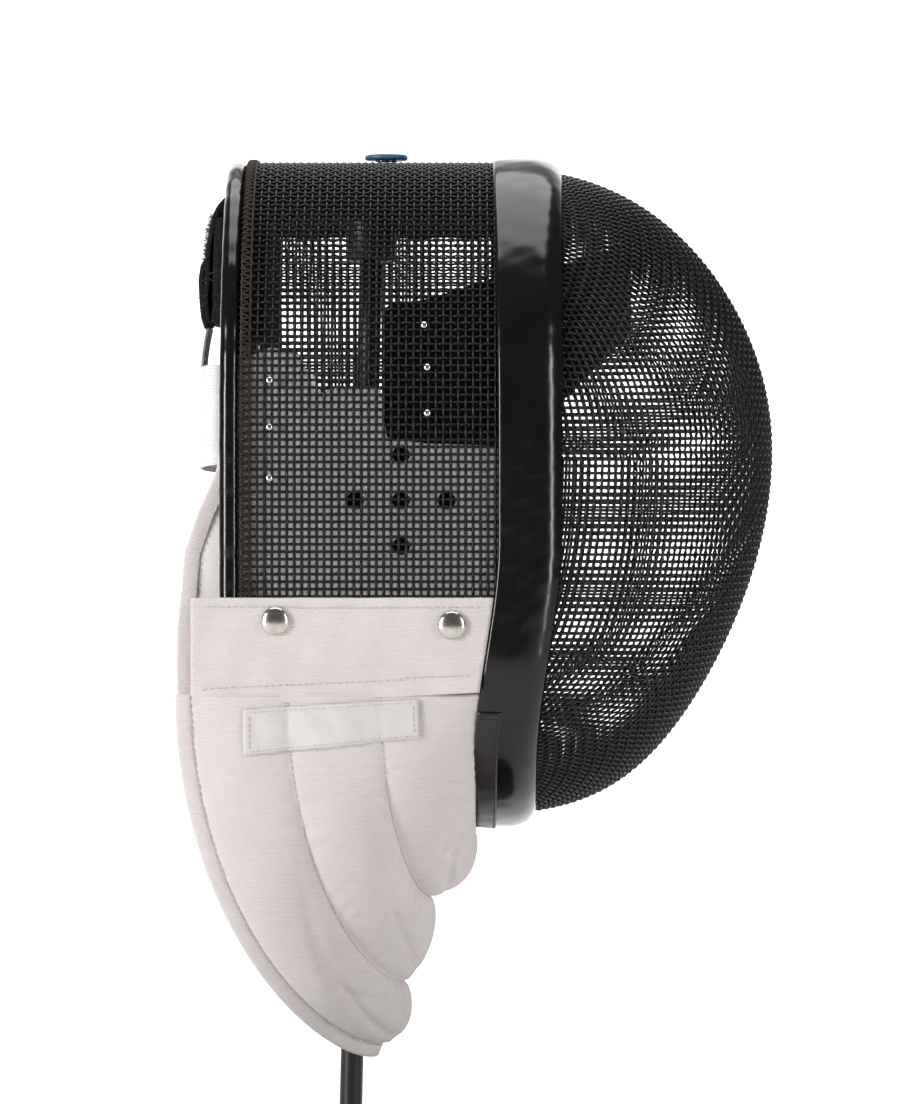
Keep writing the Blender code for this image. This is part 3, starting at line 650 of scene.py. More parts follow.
class Finish:
    """Principled material with short helpers for its nodes."""

    def __init__(self, name, roughness=0.5, metallic=0.0, specular=0.5):
        self.material = bpy.data.materials.new(name + "_finish")
        self.material["slot"] = SLOT_OF.get(name, name)
        self.material.use_nodes = True
        self.tree = self.material.node_tree
        self.shader = self.tree.nodes["Principled BSDF"]
        self.shader.inputs["Roughness"].default_value = roughness
        self.shader.inputs["Metallic"].default_value = metallic
        self.shader.inputs["Specular IOR Level"].default_value = specular
        self.place = self.add("ShaderNodeTexCoord").outputs["Object"]

    def add(self, kind, **values):
        node = self.tree.nodes.new(kind)
        for key, value in values.items():
            setattr(node, key, value)
        return node

    def link(self, a, b):
        self.tree.links.new(a, b)

    def noise(self, scale, detail=3.0, roughness=0.55, stretch=None):
        node = self.add("ShaderNodeTexNoise")
        node.inputs["Scale"].default_value = scale
        node.inputs["Detail"].default_value = detail
        node.inputs["Roughness"].default_value = roughness
        self.link(self.stretched(stretch), node.inputs["Vector"])
        return node.outputs["Fac"]

    def stretched(self, stretch):
        if stretch is None:
            return self.place
        node = self.add("ShaderNodeMapping")
        node.inputs["Scale"].default_value = stretch
        self.link(self.place, node.inputs["Vector"])
        return node.outputs["Vector"]

    def ribs(self, direction, period, distortion=0.0):
        """Bands across an axis, a period apart."""
        node = self.add("ShaderNodeTexWave", wave_type="BANDS", bands_direction=direction)
        node.inputs["Scale"].default_value = math.pi / (10.0 * period)
        node.inputs["Distortion"].default_value = distortion
        node.inputs["Detail"].default_value = 1.0
        node.inputs["Detail Scale"].default_value = 2.0
        self.link(self.place, node.inputs["Vector"])
        return node.outputs["Fac"]

    def math(self, operation, a, b):
        node = self.add("ShaderNodeMath", operation=operation)
        for slot, value in zip(node.inputs, (a, b)):
            if isinstance(value, (int, float)):
                slot.default_value = value
            else:
                self.link(value, slot)
        return node.outputs[0]

    def ramp(self, source, stops):
        node = self.add("ShaderNodeValToRGB")
        ramp = node.color_ramp
        while len(ramp.elements) < len(stops):
            ramp.elements.new(0.5)
        for element, (position, colour) in zip(ramp.elements, stops):
            element.position = position
            element.color = (*colour, 1.0)
        self.link(source, node.inputs["Fac"])
        return node.outputs["Color"]

    def colour(self, source, stops):
        self.link(self.ramp(source, stops), self.shader.inputs["Base Color"])

    def rough(self, source, low, high):
        node = self.add("ShaderNodeMapRange")
        node.inputs["To Min"].default_value = low
        node.inputs["To Max"].default_value = high
        self.link(source, node.inputs["Value"])
        self.link(node.outputs["Result"], self.shader.inputs["Roughness"])

    def bumps(self, *layers):
        """Bump layers of height source and depth in metres, one after the other."""
        last = None
        for source, depth in layers:
            node = self.add("ShaderNodeBump")
            node.inputs["Strength"].default_value = 1.0
            node.inputs["Distance"].default_value = depth
            self.link(source, node.inputs["Height"])
            if last is not None:
                self.link(last, node.inputs["Normal"])
            last = node.outputs["Normal"]
        self.link(last, self.shader.inputs["Normal"])


def black_wire():
    finish = Finish("black_wire", roughness=0.30, specular=0.42)
    # Random dark tone with brownish-grey flecks: partly wear, partly painted highlight standing in for glints
    # off the wire knuckles
    wear_and_glint_flecks = finish.noise(900.0, 4.0)
    finish.colour(wear_and_glint_flecks, ((0.30, (0.0035, 0.0030, 0.0028)), (0.62, (0.0075, 0.0062, 0.0056)),
                         (0.80, (0.030, 0.024, 0.020))))
    finish.rough(finish.noise(2600.0, 2.0), 0.20, 0.40)
    finish.bumps((finish.noise(5200.0, 2.0), 0.00005))
    return finish.material


def black_vinyl():
    finish = Finish("black_vinyl", roughness=0.18, specular=0.5)
    finish.colour(finish.noise(38.0, 4.0), ((0.3, (0.0028, 0.0026, 0.0026)), (0.7, (0.0060, 0.0052, 0.0050))))
    finish.rough(finish.noise(120.0, 5.0), 0.12, 0.24)
    creases = finish.noise(60.0, 3.0, stretch=(1.0, 0.35, 1.0))
    finish.bumps((creases, 0.0002), (finish.noise(2400.0, 2.0), 0.00001))
    return finish.material


def brown_vinyl():
    finish = Finish("brown_vinyl", roughness=0.36, specular=0.5)
    finish.colour(finish.noise(60.0, 4.0), ((0.3, (0.010, 0.0085, 0.0085)), (0.75, (0.024, 0.020, 0.019))))
    finish.rough(finish.noise(300.0, 4.0), 0.30, 0.48)
    finish.bumps((finish.noise(180.0, 4.0), 0.0003), (finish.noise(3000.0, 2.0), 0.00003))
    return finish.material


def white_cloth():
    finish = Finish("white_cloth", roughness=0.88, specular=0.25)
    finish.shader.inputs["Sheen Weight"].default_value = 0.25
    finish.shader.inputs["Sheen Roughness"].default_value = 0.5
    soil = finish.noise(24.0, 6.0)
    finish.colour(soil, ((0.25, (0.65, 0.606, 0.601)), (0.55, (0.704, 0.658, 0.653)),
                         (0.8, (0.73, 0.688, 0.683))))
    weft = finish.ribs("Z", 0.0011, 0.35)
    warp = finish.ribs("DIAGONAL", 0.0009, 0.5)
    finish.bumps((finish.noise(90.0, 4.0), 0.0004), (weft, 0.00012), (warp, 0.00004),
                 (finish.noise(2600.0, 3.0), 0.00006))
    return finish.material


def label_cloth():
    finish = Finish("label_cloth", roughness=0.55, specular=0.4)
    finish.colour(finish.noise(70.0, 4.0), ((0.3, (0.66, 0.63, 0.63)), (0.7, (0.72, 0.69, 0.69))))
    finish.bumps((finish.noise(130.0, 4.0), 0.0006), (finish.ribs("Z", 0.0006), 0.00004))
    return finish.material


def liner_cloth():
    finish = Finish("liner_cloth", roughness=0.9, specular=0.2)
    # The liner's white cloth, made brighter than the bib's: painted light standing in for light shining
    # through the thin cloth from behind
    finish.colour(finish.noise(30.0, 5.0), ((0.3, (0.88, 0.85, 0.85)), (0.7, (0.95, 0.925, 0.92))))
    finish.bumps((finish.noise(110.0, 4.0), 0.0005), (finish.ribs("Z", 0.0008, 0.5), 0.00008))
    return finish.material


def elastic_cloth():
    finish = Finish("white_elastic", roughness=0.75, specular=0.3)
    finish.colour(finish.noise(60.0, 4.0), ((0.3, (0.74, 0.73, 0.75)), (0.7, (0.84, 0.83, 0.84))))
    finish.bumps((finish.ribs("Z", 0.0014, 0.2), 0.00030), (finish.noise(1800.0, 3.0), 0.00010))
    return finish.material


def black_foam():
    finish = Finish("black_foam", roughness=0.95, specular=0.15)
    finish.colour(finish.noise(500.0, 5.0), ((0.35, (0.004, 0.004, 0.005)), (0.7, (0.013, 0.013, 0.015))))
    finish.bumps((finish.noise(800.0, 4.0), 0.0003), (finish.noise(3000.0, 2.0), 0.0001))
    return finish.material


def webbing(name, dark, light):
    finish = Finish(name, roughness=0.85, specular=0.25)
    finish.colour(finish.noise(700.0, 5.0), ((0.3, dark), (0.75, light)))
    finish.bumps((finish.ribs("X", 0.0016, 0.3), 0.0002), (finish.ribs("Z", 0.0012, 0.3), 0.0002),
                 (finish.noise(2600.0, 4.0), 0.0002))
    return finish.material


def thread(name, dark, light):
    finish = Finish(name, roughness=0.7, specular=0.3)
    finish.colour(finish.noise(900.0, 3.0), ((0.3, dark), (0.7, light)))
    finish.bumps((finish.noise(4000.0, 2.0), 0.00005))
    return finish.material


def nickel():
    finish = Finish("nickel", metallic=1.0, roughness=0.18)
    finish.colour(finish.noise(260.0, 5.0), ((0.3, (0.60, 0.56, 0.51)), (0.7, (0.78, 0.75, 0.71))))
    finish.rough(finish.noise(700.0, 5.0), 0.12, 0.30)
    finish.bumps((finish.noise(900.0, 3.0), 0.00003))
    return finish.material


def blue_plastic():
    finish = Finish("blue_plastic", roughness=0.4, specular=0.5)
    finish.colour(finish.noise(300.0, 4.0), ((0.3, (0.035, 0.11, 0.22)), (0.75, (0.060, 0.17, 0.32))))
    finish.bumps((finish.noise(1500.0, 3.0), 0.00008))
    return finish.material


def black_metal():
    finish = Finish("black_metal", roughness=0.38, specular=0.4)
    finish.colour(finish.noise(120.0, 5.0), ((0.3, (0.004, 0.004, 0.004)), (0.75, (0.010, 0.009, 0.009))))
    finish.rough(finish.noise(500.0, 4.0), 0.30, 0.48)
    finish.bumps((finish.noise(1600.0, 3.0), 0.00004))
    return finish.material


# Woven wire

def weave(count, offset):
    """Rise over a crossing and dip under the next, half a pitch to a step."""
    step = np.arange(count) + offset
    return np.where(step % 2 == 0, np.where((step // 2) % 2 == 0, 1.0, -1.0), 0.0)


def side_mesh(material):
    """Wires along the arch, and wires across it from the trim to the rim."""
    x, z, nx, nz = arch_line(SIDE_MESH_HEM_Z, None, MESH_WALL / 2.0)
    zero = np.zeros_like(x)
    normals = np.stack([nx, zero, nz], axis=-1)
    rows = int((SIDE_MESH_REAR_Y - JOINT_UPPER_Y) / WIRE_PITCH)
    lift = WIRE_RADIUS * WIRE_RISE
    warp = []
    for row in range(rows + 1):
        y = SIDE_MESH_REAR_Y - WIRE_RADIUS - row * WIRE_PITCH
        line = np.stack([x, np.full_like(x, y), z], axis=-1)
        inside = y > joint_y(z) + WIRE_RADIUS
        if not inside.all():
            middle = np.where(inside)[0]
            line, up, wave = line[middle], normals[middle], weave(len(x), 2 * row)[middle]
        else:
            up, wave = normals, weave(len(x), 2 * row)
        if len(line) > 4:
            warp.append((line + up * wave[:, None] * lift, up))
    weft = []
    for column in range(0, len(x), 2):
        front = joint_y(z[column]) + WIRE_RADIUS
        count = int((SIDE_MESH_REAR_Y - WIRE_RADIUS - front) / WIRE_PITCH) * 2 + 1
        y = SIDE_MESH_REAR_Y - WIRE_RADIUS - np.arange(count) * WIRE_PITCH / 2.0
        line = np.stack([np.full(count, x[column]), y, np.full(count, z[column])], axis=-1)
        up = np.repeat(normals[column][None, :], count, axis=0)
        wave = -weave(count, column)
        weft.append((line + up * wave[:, None] * lift, up))
    new_piece("side_mesh_warp", tubes_mesh("side_mesh_warp", warp, WIRE_RADIUS, WIRE_SIDES), material,
              "side_mesh")
    new_piece("side_mesh_weft", tubes_mesh("side_mesh_weft", weft, WIRE_RADIUS, WIRE_SIDES), material,
              "side_mesh")


def walk_axis(direction, count):
    """Chart coordinates a wire pitch apart from the tip along one chart axis."""
    angle = np.linspace(0.0, 1.75, 6001)
    line = dome_surface(angle * direction[0], angle * direction[1], MESH_WALL / 2.0)
    run = np.concatenate([[0.0], np.cumsum(np.linalg.norm(np.diff(line, axis=0), axis=1))])
    even = np.interp(np.arange(count) * WIRE_PITCH, run, angle)
    return np.stack([even * direction[0], even * direction[1]], axis=-1)


def net_quadrant(sign_a, sign_b, count_a, count_b):
    """Chart coordinates of a net whose cells all have sides of one wire pitch."""
    net = np.full((count_a, count_b, 2), np.nan)
    net[:, 0] = walk_axis((sign_a, 0.0), count_a)
    net[0, :] = walk_axis((0.0, sign_b), count_b)
    limit = 1.70
    for total in range(2, count_a + count_b - 1):
        i = np.arange(max(1, total - count_b + 1), min(count_a - 1, total - 1) + 1)
        j = total - i
        before, beside, corner = net[i - 1, j], net[i, j - 1], net[i - 1, j - 1]
        good = np.isfinite(before).all(1) & np.isfinite(beside).all(1) & np.isfinite(corner).all(1)
        if not good.any():
            continue
        i, j = i[good], j[good]
        before, beside, corner = before[good], beside[good], corner[good]
        at_before = dome_surface(before[:, 0], before[:, 1])
        at_beside = dome_surface(beside[:, 0], beside[:, 1])
        guess = before + beside - corner
        for _ in range(7):
            here = dome_surface(guess[:, 0], guess[:, 1])
            step = 1e-4
            along_a = (dome_surface(guess[:, 0] + step, guess[:, 1]) - here) / step
            along_b = (dome_surface(guess[:, 0], guess[:, 1] + step) - here) / step
            off_a, off_b = here - at_before, here - at_beside
            miss = np.stack([(off_a ** 2).sum(1), (off_b ** 2).sum(1)], axis=-1) - WIRE_PITCH ** 2
            m00, m01 = 2 * (off_a * along_a).sum(1), 2 * (off_a * along_b).sum(1)
            m10, m11 = 2 * (off_b * along_a).sum(1), 2 * (off_b * along_b).sum(1)
            det = m00 * m11 - m01 * m10
            det = np.where(np.abs(det) < 1e-12, np.nan, det)
            change = np.stack([m11 * miss[:, 0] - m01 * miss[:, 1],
                               -m10 * miss[:, 0] + m00 * miss[:, 1]], axis=-1) / det[:, None]
            reach = np.linalg.norm(change, axis=1, keepdims=True)
            guess = guess - change * np.minimum(1.0, 0.05 / np.maximum(reach, 1e-9))
        far = np.hypot(guess[:, 0], guess[:, 1]) > limit
        guess[far] = np.nan
        net[i, j] = guess
    return net


def face_mesh(material):
    """Net of wires over the dome, cut at the joint."""
    size_a, size_b = 2 * NET_ACROSS - 1, NET_UP + NET_DOWN - 1
    net = np.full((size_a, size_b, 2), np.nan)
    middle_a, middle_b = NET_ACROSS - 1, NET_DOWN - 1
    for sign_a in (1.0, -1.0):
        for sign_b, count in ((1.0, NET_UP), (-1.0, NET_DOWN)):
            i = middle_a + int(sign_a) * np.arange(NET_ACROSS)
            j = middle_b + int(sign_b) * np.arange(count)
            net[np.ix_(i, j)] = net_quadrant(sign_a, sign_b, NET_ACROSS, count)
    inside = np.hypot(net[..., 0], net[..., 1]) <= DOME_EDGE_ANGLE
    for name, swap in (("face_mesh_warp", False), ("face_mesh_weft", True)):
        grid = net.swapaxes(0, 1) if swap else net
        keep = inside.T if swap else inside
        chains = []
        for index in range(grid.shape[0]):
            valid = np.where(keep[index])[0]
            if len(valid) < 2:
                continue
            for run in np.split(valid, np.where(np.diff(valid) > 1)[0] + 1):
                if len(run) < 2:
                    continue
                fine = np.arange(run[0], run[-1] + 0.25, 0.5)
                a = np.interp(fine, run, grid[index, run, 0])
                b = np.interp(fine, run, grid[index, run, 1])
                up = dome_normal(a, b)
                wave = weave(len(fine), 2 * (run[0] + index)) * (-1.0 if swap else 1.0)
                centre = dome_surface(a, b) - up * MESH_WALL / 2.0
                chains.append((centre + up * wave[:, None] * WIRE_RADIUS * WIRE_RISE, up))
        new_piece(name, tubes_mesh(name, chains, WIRE_RADIUS, WIRE_SIDES), material, "front_mesh")


# Vinyl band, flap and rim

def trim_grid(turn, stations, rough=0.0):
    """Grid of points over the joint: one row for each station of share and cover."""
    nx, nz = outline_normal(turn)
    x, z = outline_point(turn)
    reach = trim_reach(turn)
    rows = []
    for share, cover in stations:
        if share >= 0.0:
            base = np.stack([x, joint_y(z) + reach * share, z], axis=-1)
            out = np.stack([nx, np.zeros_like(nx), nz], axis=-1)
        else:
            base = dome_point_before_joint(turn, -reach * share)
            out = unit(np.stack([nx, np.full_like(nx, TRIM_LEAN * share), nz], axis=-1))
            cover = cover + DOME_INSET * (1.0 - share ** 2)
        ripple = rough * (np.sin(turn * 47.0 + share * 3.0) + 0.6 * np.sin(turn * 83.0 - share * 5.0))
        rows.append(base + out * (GAP + cover + ripple)[:, None])
    return np.stack(rows)


def dense_section(section, count):
    """Section sampled evenly and rounded off between its stations."""
    shares = np.array([row[0] for row in section])
    covers = np.array([row[1] for row in section])
    even = np.linspace(shares[0], shares[-1], count)
    cover = np.interp(-even, -shares, covers)
    for _ in range(2):
        cover[1:-1] = (cover[:-2] + 2.0 * cover[1:-1] + cover[2:]) / 4.0
    return list(zip(even.tolist(), cover.tolist()))


def front_trim(material):
    turn = np.linspace(0.0, 2.0 * math.pi, TRIM_STEPS + 1)[:-1]
    outer = trim_grid(turn, dense_section(TRIM_SECTION, TRIM_ROWS), 0.00005)
    inner = trim_grid(turn, ((-1.0, 0.0002), (0.0, 0.0008), (1.0, 0.0004)))
    grid = np.concatenate([outer, inner])
    mesh = grid_mesh("front_trim", grid, closed_rows=True, closed_columns=True)
    new_piece("front_trim_band", mesh, material, "front_trim")


def trim_flap(material, thread_material):
    foot = math.atan2(FLAP_TOP_Z - SPRING_Z, -float(outline_x(FLAP_TOP_Z)))
    turn = np.linspace(foot, -math.pi - foot, FLAP_STEPS)
    section = dense_section(TRIM_SECTION[:4], FLAP_ROWS)
    low = trim_grid(turn, [(share, cover + GAP) for share, cover in section])
    high = trim_grid(turn, [(share, cover + GAP + FLAP_THICKNESS) for share, cover in section], 0.00004)
    grid = np.concatenate([high, low[::-1]])
    mesh = grid_mesh("trim_flap", grid, closed_rows=True)
    piece = new_piece("trim_flap_vinyl", mesh, material, "trim_flap")
    close_mesh(piece)
    nx, nz = outline_normal(turn)
    up = np.stack([nx, np.zeros_like(nx), nz], axis=-1)
    lines = [(high[row], up) for row in (1, FLAP_ROWS - 2)]
    for end in (2, -3):
        line = high[1:-1, end]
        lines.append((line, np.repeat(up[end][None, :], len(line), axis=0)))
    mesh = stitches_mesh("flap_stitches", lines, radius=0.00021)
    new_piece("flap_stitches", mesh, thread_material)


def rim_binding(material, thread_material):
    x, z, nx, nz = arch_line(RIM_FOOT_Z, RIM_STEPS, RIM_RADIUS - GAP)
    centre_y = SIDE_MESH_REAR_Y + GAP + RIM_RADIUS
    run = np.arange(len(x))
    wobble = 0.00012 * np.sin(run * 0.61) + 0.0001 * np.sin(run * 0.27 + 1.0)
    line = np.stack([x + nx * wobble, np.full_like(x, centre_y), z + nz * wobble], axis=-1)
    up = np.stack([nx, np.zeros_like(x), nz], axis=-1)
    radius = RIM_RADIUS * (1.0 + 0.012 * np.sin(run * 0.43))
    mesh = tubes_mesh("rim_binding", [(line, up)], radius - 0.0001, RIM_SIDES)
    new_piece("rim_binding_vinyl", mesh, material, "rim_binding")
    # Whip stitches over the mesh edge, slanted and doubled
    x, z, nx, nz = arch_line(RIM_FOOT_Z, None, 0.0)
    up = np.stack([nx, np.zeros_like(x), nz], axis=-1)
    along = unit(np.gradient(np.stack([x, np.zeros_like(x), z], axis=-1), axis=0))
    chains = []
    front_y, back_y = SIDE_MESH_REAR_Y - WHIP_FRONT_REACH, SIDE_MESH_REAR_Y + WHIP_REAR_REACH
    share = np.linspace(0.0, 1.0, WHIP_POINTS)
    for index in range(1, len(x) - 2):
        base = np.array([x[index], 0.0, z[index]])
        jitter = rng.normal(0.0, WHIP_JITTER, 2)
        slant = (0.0016 if index % 2 else -0.0014) + jitter[0]
        rise = 0.0004 + 0.0005 * np.sin(share * math.pi)
        y = mix(front_y + jitter[1], back_y, share)
        line = (base + along[index] * (slant * (share - 0.5))[:, None]
                + up[index] * rise[:, None] + np.array([0.0, 1.0, 0.0]) * y[:, None])
        line[0] -= up[index] * 0.0012
        line[-1] -= up[index] * 0.0008
        chains.append((line, np.repeat(up[index][None, :], WHIP_POINTS, axis=0)))
    mesh = tubes_mesh("rim_whip_stitches", chains, WHIP_RADIUS, 5)
    new_piece("rim_whip_stitches", mesh, thread_material)
    # Cord that the stitches hold along the mesh
    line = np.stack([x + nx * 0.0002, np.full_like(x, front_y), z + nz * 0.0002], axis=-1)
    line[:, 1] += 0.00025 * np.sin(np.arange(len(x)) * math.pi / 2.0)
    mesh = tubes_mesh("rim_edge_cord", [(line, up)], EDGE_CORD_RADIUS, 6)
    new_piece("rim_edge_cord", mesh, thread_material)


# Bib

def bib_seam_points(row, swing):
    side, fall = np.cos(swing), np.sin(swing)
    if row == 0:
        start = math.asin((JAW_Z - BIB_TOP_Z) / (JAW_Z - CHIN_Z))
        turn = start + (math.pi / 2.0 - start) * (1.0 - np.abs(swing / (math.pi / 2.0) - 1.0))
        x = -np.sign(side) * JAW_HALF_WIDTH * np.cos(turn)
        z = JAW_Z - (JAW_Z - CHIN_Z + BIB_CHIN_DROP * fall) * np.sin(turn)
        return np.stack([x, trim_rear_y(z) + BIB_EDGE_GAP, z], axis=-1)
    y_side, y_middle, z_middle = BIB_SEAMS[row - 1]
    y = mix(y_side, y_middle, 1.0 - np.abs(side) ** BIB_SWEEP_POWER)
    return np.stack([-BIB_HALF_WIDTH * side, y, BIB_TOP_Z - (BIB_TOP_Z - z_middle) * fall], axis=-1)


def bib_flat(across, swing):
    """Points of the bib without padding, for arrays of equal shape."""
    seams = np.stack([bib_seam_points(row, swing) for row in range(len(BIB_SEAMS) + 1)])
    row = np.clip(across.astype(int), 0, len(BIB_SEAMS) - 1)
    low = np.take_along_axis(seams, row[None, ..., None], axis=0)[0]
    high = np.take_along_axis(seams, row[None, ..., None] + 1, axis=0)[0]
    return mix(low, high, (across - row)[..., None])


def bib_surface(across, swing, detail=True):
    flat = bib_flat(across, swing)
    step = 0.02
    along = bib_flat(across, swing + step) - bib_flat(across, swing - step)
    low, high = np.clip(across - step, 0.0, None), np.clip(across + step, None, len(BIB_SEAMS) - 0.001)
    out = bib_flat(high, swing) - bib_flat(low, swing)
    normal = -unit(np.cross(along, out))
    share = across - np.floor(across)
    share = np.where(across >= len(BIB_SEAMS) - 1e-6, 1.0, share)
    fall = np.abs(np.sin(swing))
    puff = mix(BIB_SIDE_PUFF, BIB_FRONT_PUFF, fall ** 1.5)
    height = puff * np.abs(np.sin(math.pi * share)) ** 0.62
    if detail:
        nearness = np.minimum(share, 1.0 - share)
        pucker = np.exp(-nearness / 0.16) * (1.0 - np.exp(-nearness / 0.02))
        pucker = pucker * (0.4 + 0.6 * fall)
        row = np.floor(across)
        height = height + 0.00055 * pucker * np.sin(swing * (96.0 - 9.0 * row) + 2.1 * row)
        height = height + 0.00045 * pucker * np.sin(swing * (61.0 + 7.0 * row) - 1.3 * row)
        long = np.sin(swing * 9.0 + across * 2.3) + 0.7 * np.sin(swing * 14.0 - across * 3.1 + 1.0)
        height = height + 0.00055 * long * np.sin(math.pi * share) * (0.3 + 0.7 * fall)
        height = height - smooth_fold(share, swing, row)
    return flat + normal * height[..., None], normal


def smooth_fold(share, swing, row):
    """Soft diagonal creases where a channel turns under the chin."""
    middle = np.abs(swing - math.pi / 2.0)
    high = share - (0.86 - 0.75 * middle)
    low = share - (0.58 - 0.95 * np.abs(middle - 0.62 + 0.04 * row))
    crease = 0.0021 * np.exp(-(high / 0.055) ** 2) * np.exp(-((middle - 0.34) / 0.30) ** 2)
    return crease + 0.0013 * np.exp(-(low / 0.07) ** 2) * np.exp(-((middle - 0.50) / 0.34) ** 2)


def bib(material, thread_material):
    rows = len(BIB_SEAMS) * BIB_ROWS_A_CHANNEL + 1
    across, swing = np.meshgrid(np.linspace(0.0, len(BIB_SEAMS), rows),
                                np.linspace(0.0, math.pi, BIB_SWINGS), indexing="ij")
    grid, _ = bib_surface(across, swing)
    mesh = grid_mesh("bib_padding", grid, flip=True)
    piece = new_piece("bib_padding", mesh, material, "bib")
    add_shell(piece, BIB_WALL)
    # Rows of stitches along the two seams
    lines = []
    swing_line = np.linspace(0.02, math.pi - 0.02, BIB_STITCH_STEPS)
    for seam in (1.0, 2.0):
        points, normal = bib_surface(np.full_like(swing_line, seam), swing_line, detail=False)
        lines.append((points + normal * 0.0002, normal))
    mesh = stitches_mesh("bib_stitches", lines, pitch=0.0030, length=0.0021, radius=0.0002)
    new_piece("bib_stitches", mesh, thread_material)


def bib_binding(material, thread_material):
    last = float(len(BIB_SEAMS))
    swing = np.linspace(0.0, math.pi, 361)
    edge = bib_flat(np.full_like(swing, last), swing)
    inner = bib_flat(np.full_like(swing, last - 0.2), swing)
    _, normal = bib_surface(np.full_like(swing, last - 0.02), swing, detail=False)
    out = unit(edge - inner)
    turn = np.linspace(0.0, 2.0 * math.pi, 25)[:-1]
    ripple = 1.0 + 0.04 * np.sin(swing * 70.0) + 0.03 * np.sin(swing * 41.0 + 1.0)
    rows = []
    for angle in turn:
        wide = 0.5 * (BINDING_WIDTH + BINDING_OVERLAP) * (1.0 + powered(math.cos(angle), 0.5))
        thick = 0.5 * BINDING_THICKNESS * powered(math.sin(angle), 0.6)
        rows.append(edge + out * (wide - BINDING_OVERLAP)
                    + normal * (thick * ripple - BINDING_THICKNESS / 2.0 + BINDING_LIFT)[:, None])
    mesh = grid_mesh("bib_binding_tape", np.stack(rows), closed_rows=True)
    piece = new_piece("bib_binding_tape", mesh, material, "bib_binding")
    close_mesh(piece)
    points = edge + out * 0.0004 + normal * (BINDING_LIFT + 0.0001)
    mesh = stitches_mesh("bib_binding_stitches", [(points, normal)],
                         pitch=0.0031, length=0.0022, radius=0.00022)
    new_piece("bib_binding_stitches", mesh, thread_material)


def bib_band(side_name, side, material, thread_material):
    """Flat band on the flank with a folded hem and two sewn seams."""
    level, share = np.meshgrid(np.linspace(0.0, 1.0, BAND_LEVELS), np.linspace(0.0, 1.0, BAND_COLUMNS),
                               indexing="ij")
    foot = mix(BAND_FOOT_FRONT_Z, BAND_FOOT_REAR_Z, share)
    z = mix(foot, BAND_TOP_Z, level)
    y = mix(trim_rear_y(z) + GAP, BAND_REAR_Y, share)
    x = outline_x(np.maximum(z, SIDE_MESH_HEM_Z)) + GAP + BAND_THICKNESS
    bulge = BAND_FOOT_BULGE * smooth_step((BAND_FOOT_Z + BAND_BULGE_HEIGHT - z) / BAND_BULGE_HEIGHT)
    soft = 0.00014 * (np.sin(y * 330.0 + z * 90.0) + np.sin(y * 170.0 - z * 260.0))
    hem_rise = BAND_HEM_STEP * smooth_step((foot + BAND_HEM_HEIGHT + 0.0012 - z) / 0.0012)
    seams = 0.0
    for seam in (foot + BAND_HEM_HEIGHT, BAND_TOP_Z - BAND_TOP_SEAM):
        seams = seams + BAND_SEAM_DEPTH * np.exp(-((z - seam) / BAND_SEAM_WIDTH) ** 2)
    grid = np.stack([side * (x + bulge + soft + hem_rise - seams), y, z], axis=-1)
    mesh = grid_mesh("bib_band_" + side_name, grid, flip=side < 0)
    piece = new_piece("bib_band_cloth_" + side_name, mesh, material, "bib_band_" + side_name)
    add_shell(piece, BAND_THICKNESS * 0.8)
    normals = grid_normals(grid)
    normals = np.where((normals[..., 0:1] * side) < 0.0, -normals, normals)
    lines = []
    column = np.arange(3, grid.shape[1] - 3)
    for seam in (foot[0] + BAND_HEM_HEIGHT, np.full(grid.shape[1], BAND_TOP_Z - BAND_TOP_SEAM)):
        row = np.argmin(np.abs(grid[:, :, 2] - seam), axis=0)[column]
        lines.append((grid[row, column] + normals[row, column] * 0.0002, normals[row, column]))
    mesh = stitches_mesh("band_stitches_" + side_name, lines, pitch=0.0028, length=0.0019, radius=0.0002)
    new_piece("band_stitches_" + side_name, mesh, thread_material)


def bib_across_at(y, z):
    """Seam share and swing of the bib point at the given Y and Z on the right side."""
    low = np.zeros_like(y)
    high = np.full_like(y, len(BIB_SEAMS) - 0.001)
    middle = np.full_like(y, math.pi / 2.0)
    for _ in range(30):
        across = (low + high) / 2.0
        middle_z = bib_flat(across, middle)[..., 2]
        swing = np.arcsin(np.clip((BIB_TOP_Z - z) / (BIB_TOP_Z - middle_z), 0.0, 1.0))
        short = bib_flat(across, swing)[..., 1] < y
        low, high = np.where(short, across, low), np.where(short, high, across)
    return across, swing


def label(material, thread_material):
    share_z, share_y = np.meshgrid(np.linspace(0.0, 1.0, 14), np.linspace(0.0, 1.0, 60), indexing="ij")
    top = mix(LABEL_FRONT_TOP_Z, LABEL_REAR_TOP_Z, share_y)
    z = top - mix(LABEL_FRONT_HEIGHT, LABEL_REAR_HEIGHT, share_y) * share_z
    y = mix(LABEL_FRONT_Y, LABEL_REAR_Y, share_y)
    across, swing = bib_across_at(y, z)
    points, normal = bib_surface(across, swing, detail=False)
    ripple = LABEL_RIPPLE * np.sin(share_y * 31.0 + share_z * 3.0) * np.sin(share_z * math.pi)
    points = points + normal * (LABEL_LIFT + ripple)[..., None]
    mesh = grid_mesh("label_patch", points)
    piece = new_piece("label_patch_cloth", mesh, material, "label_patch")
    add_shell(piece, LABEL_WALL)
    rings = [(grid[1, 2:-2], grid[2:-2, -3], grid[-2, 2:-2][::-1], grid[2:-2, 2][::-1])
             for grid in (points, normal)]
    mesh = stitches_mesh("label_stitches", list(zip(*rings)), pitch=0.0024, length=0.0016, radius=0.00018)
    new_piece("label_stitches", mesh, thread_material)


# Inside the mask

def liner_inset(y):
    share = (y - LINER_BEND_Y) / (LINER_BEND_END_Y - LINER_BEND_Y)
    return mix(MESH_WALL + FACET_GAP, 2.0 * RIM_RADIUS + FACET_GAP, np.clip(share, 0.0, 1.0))


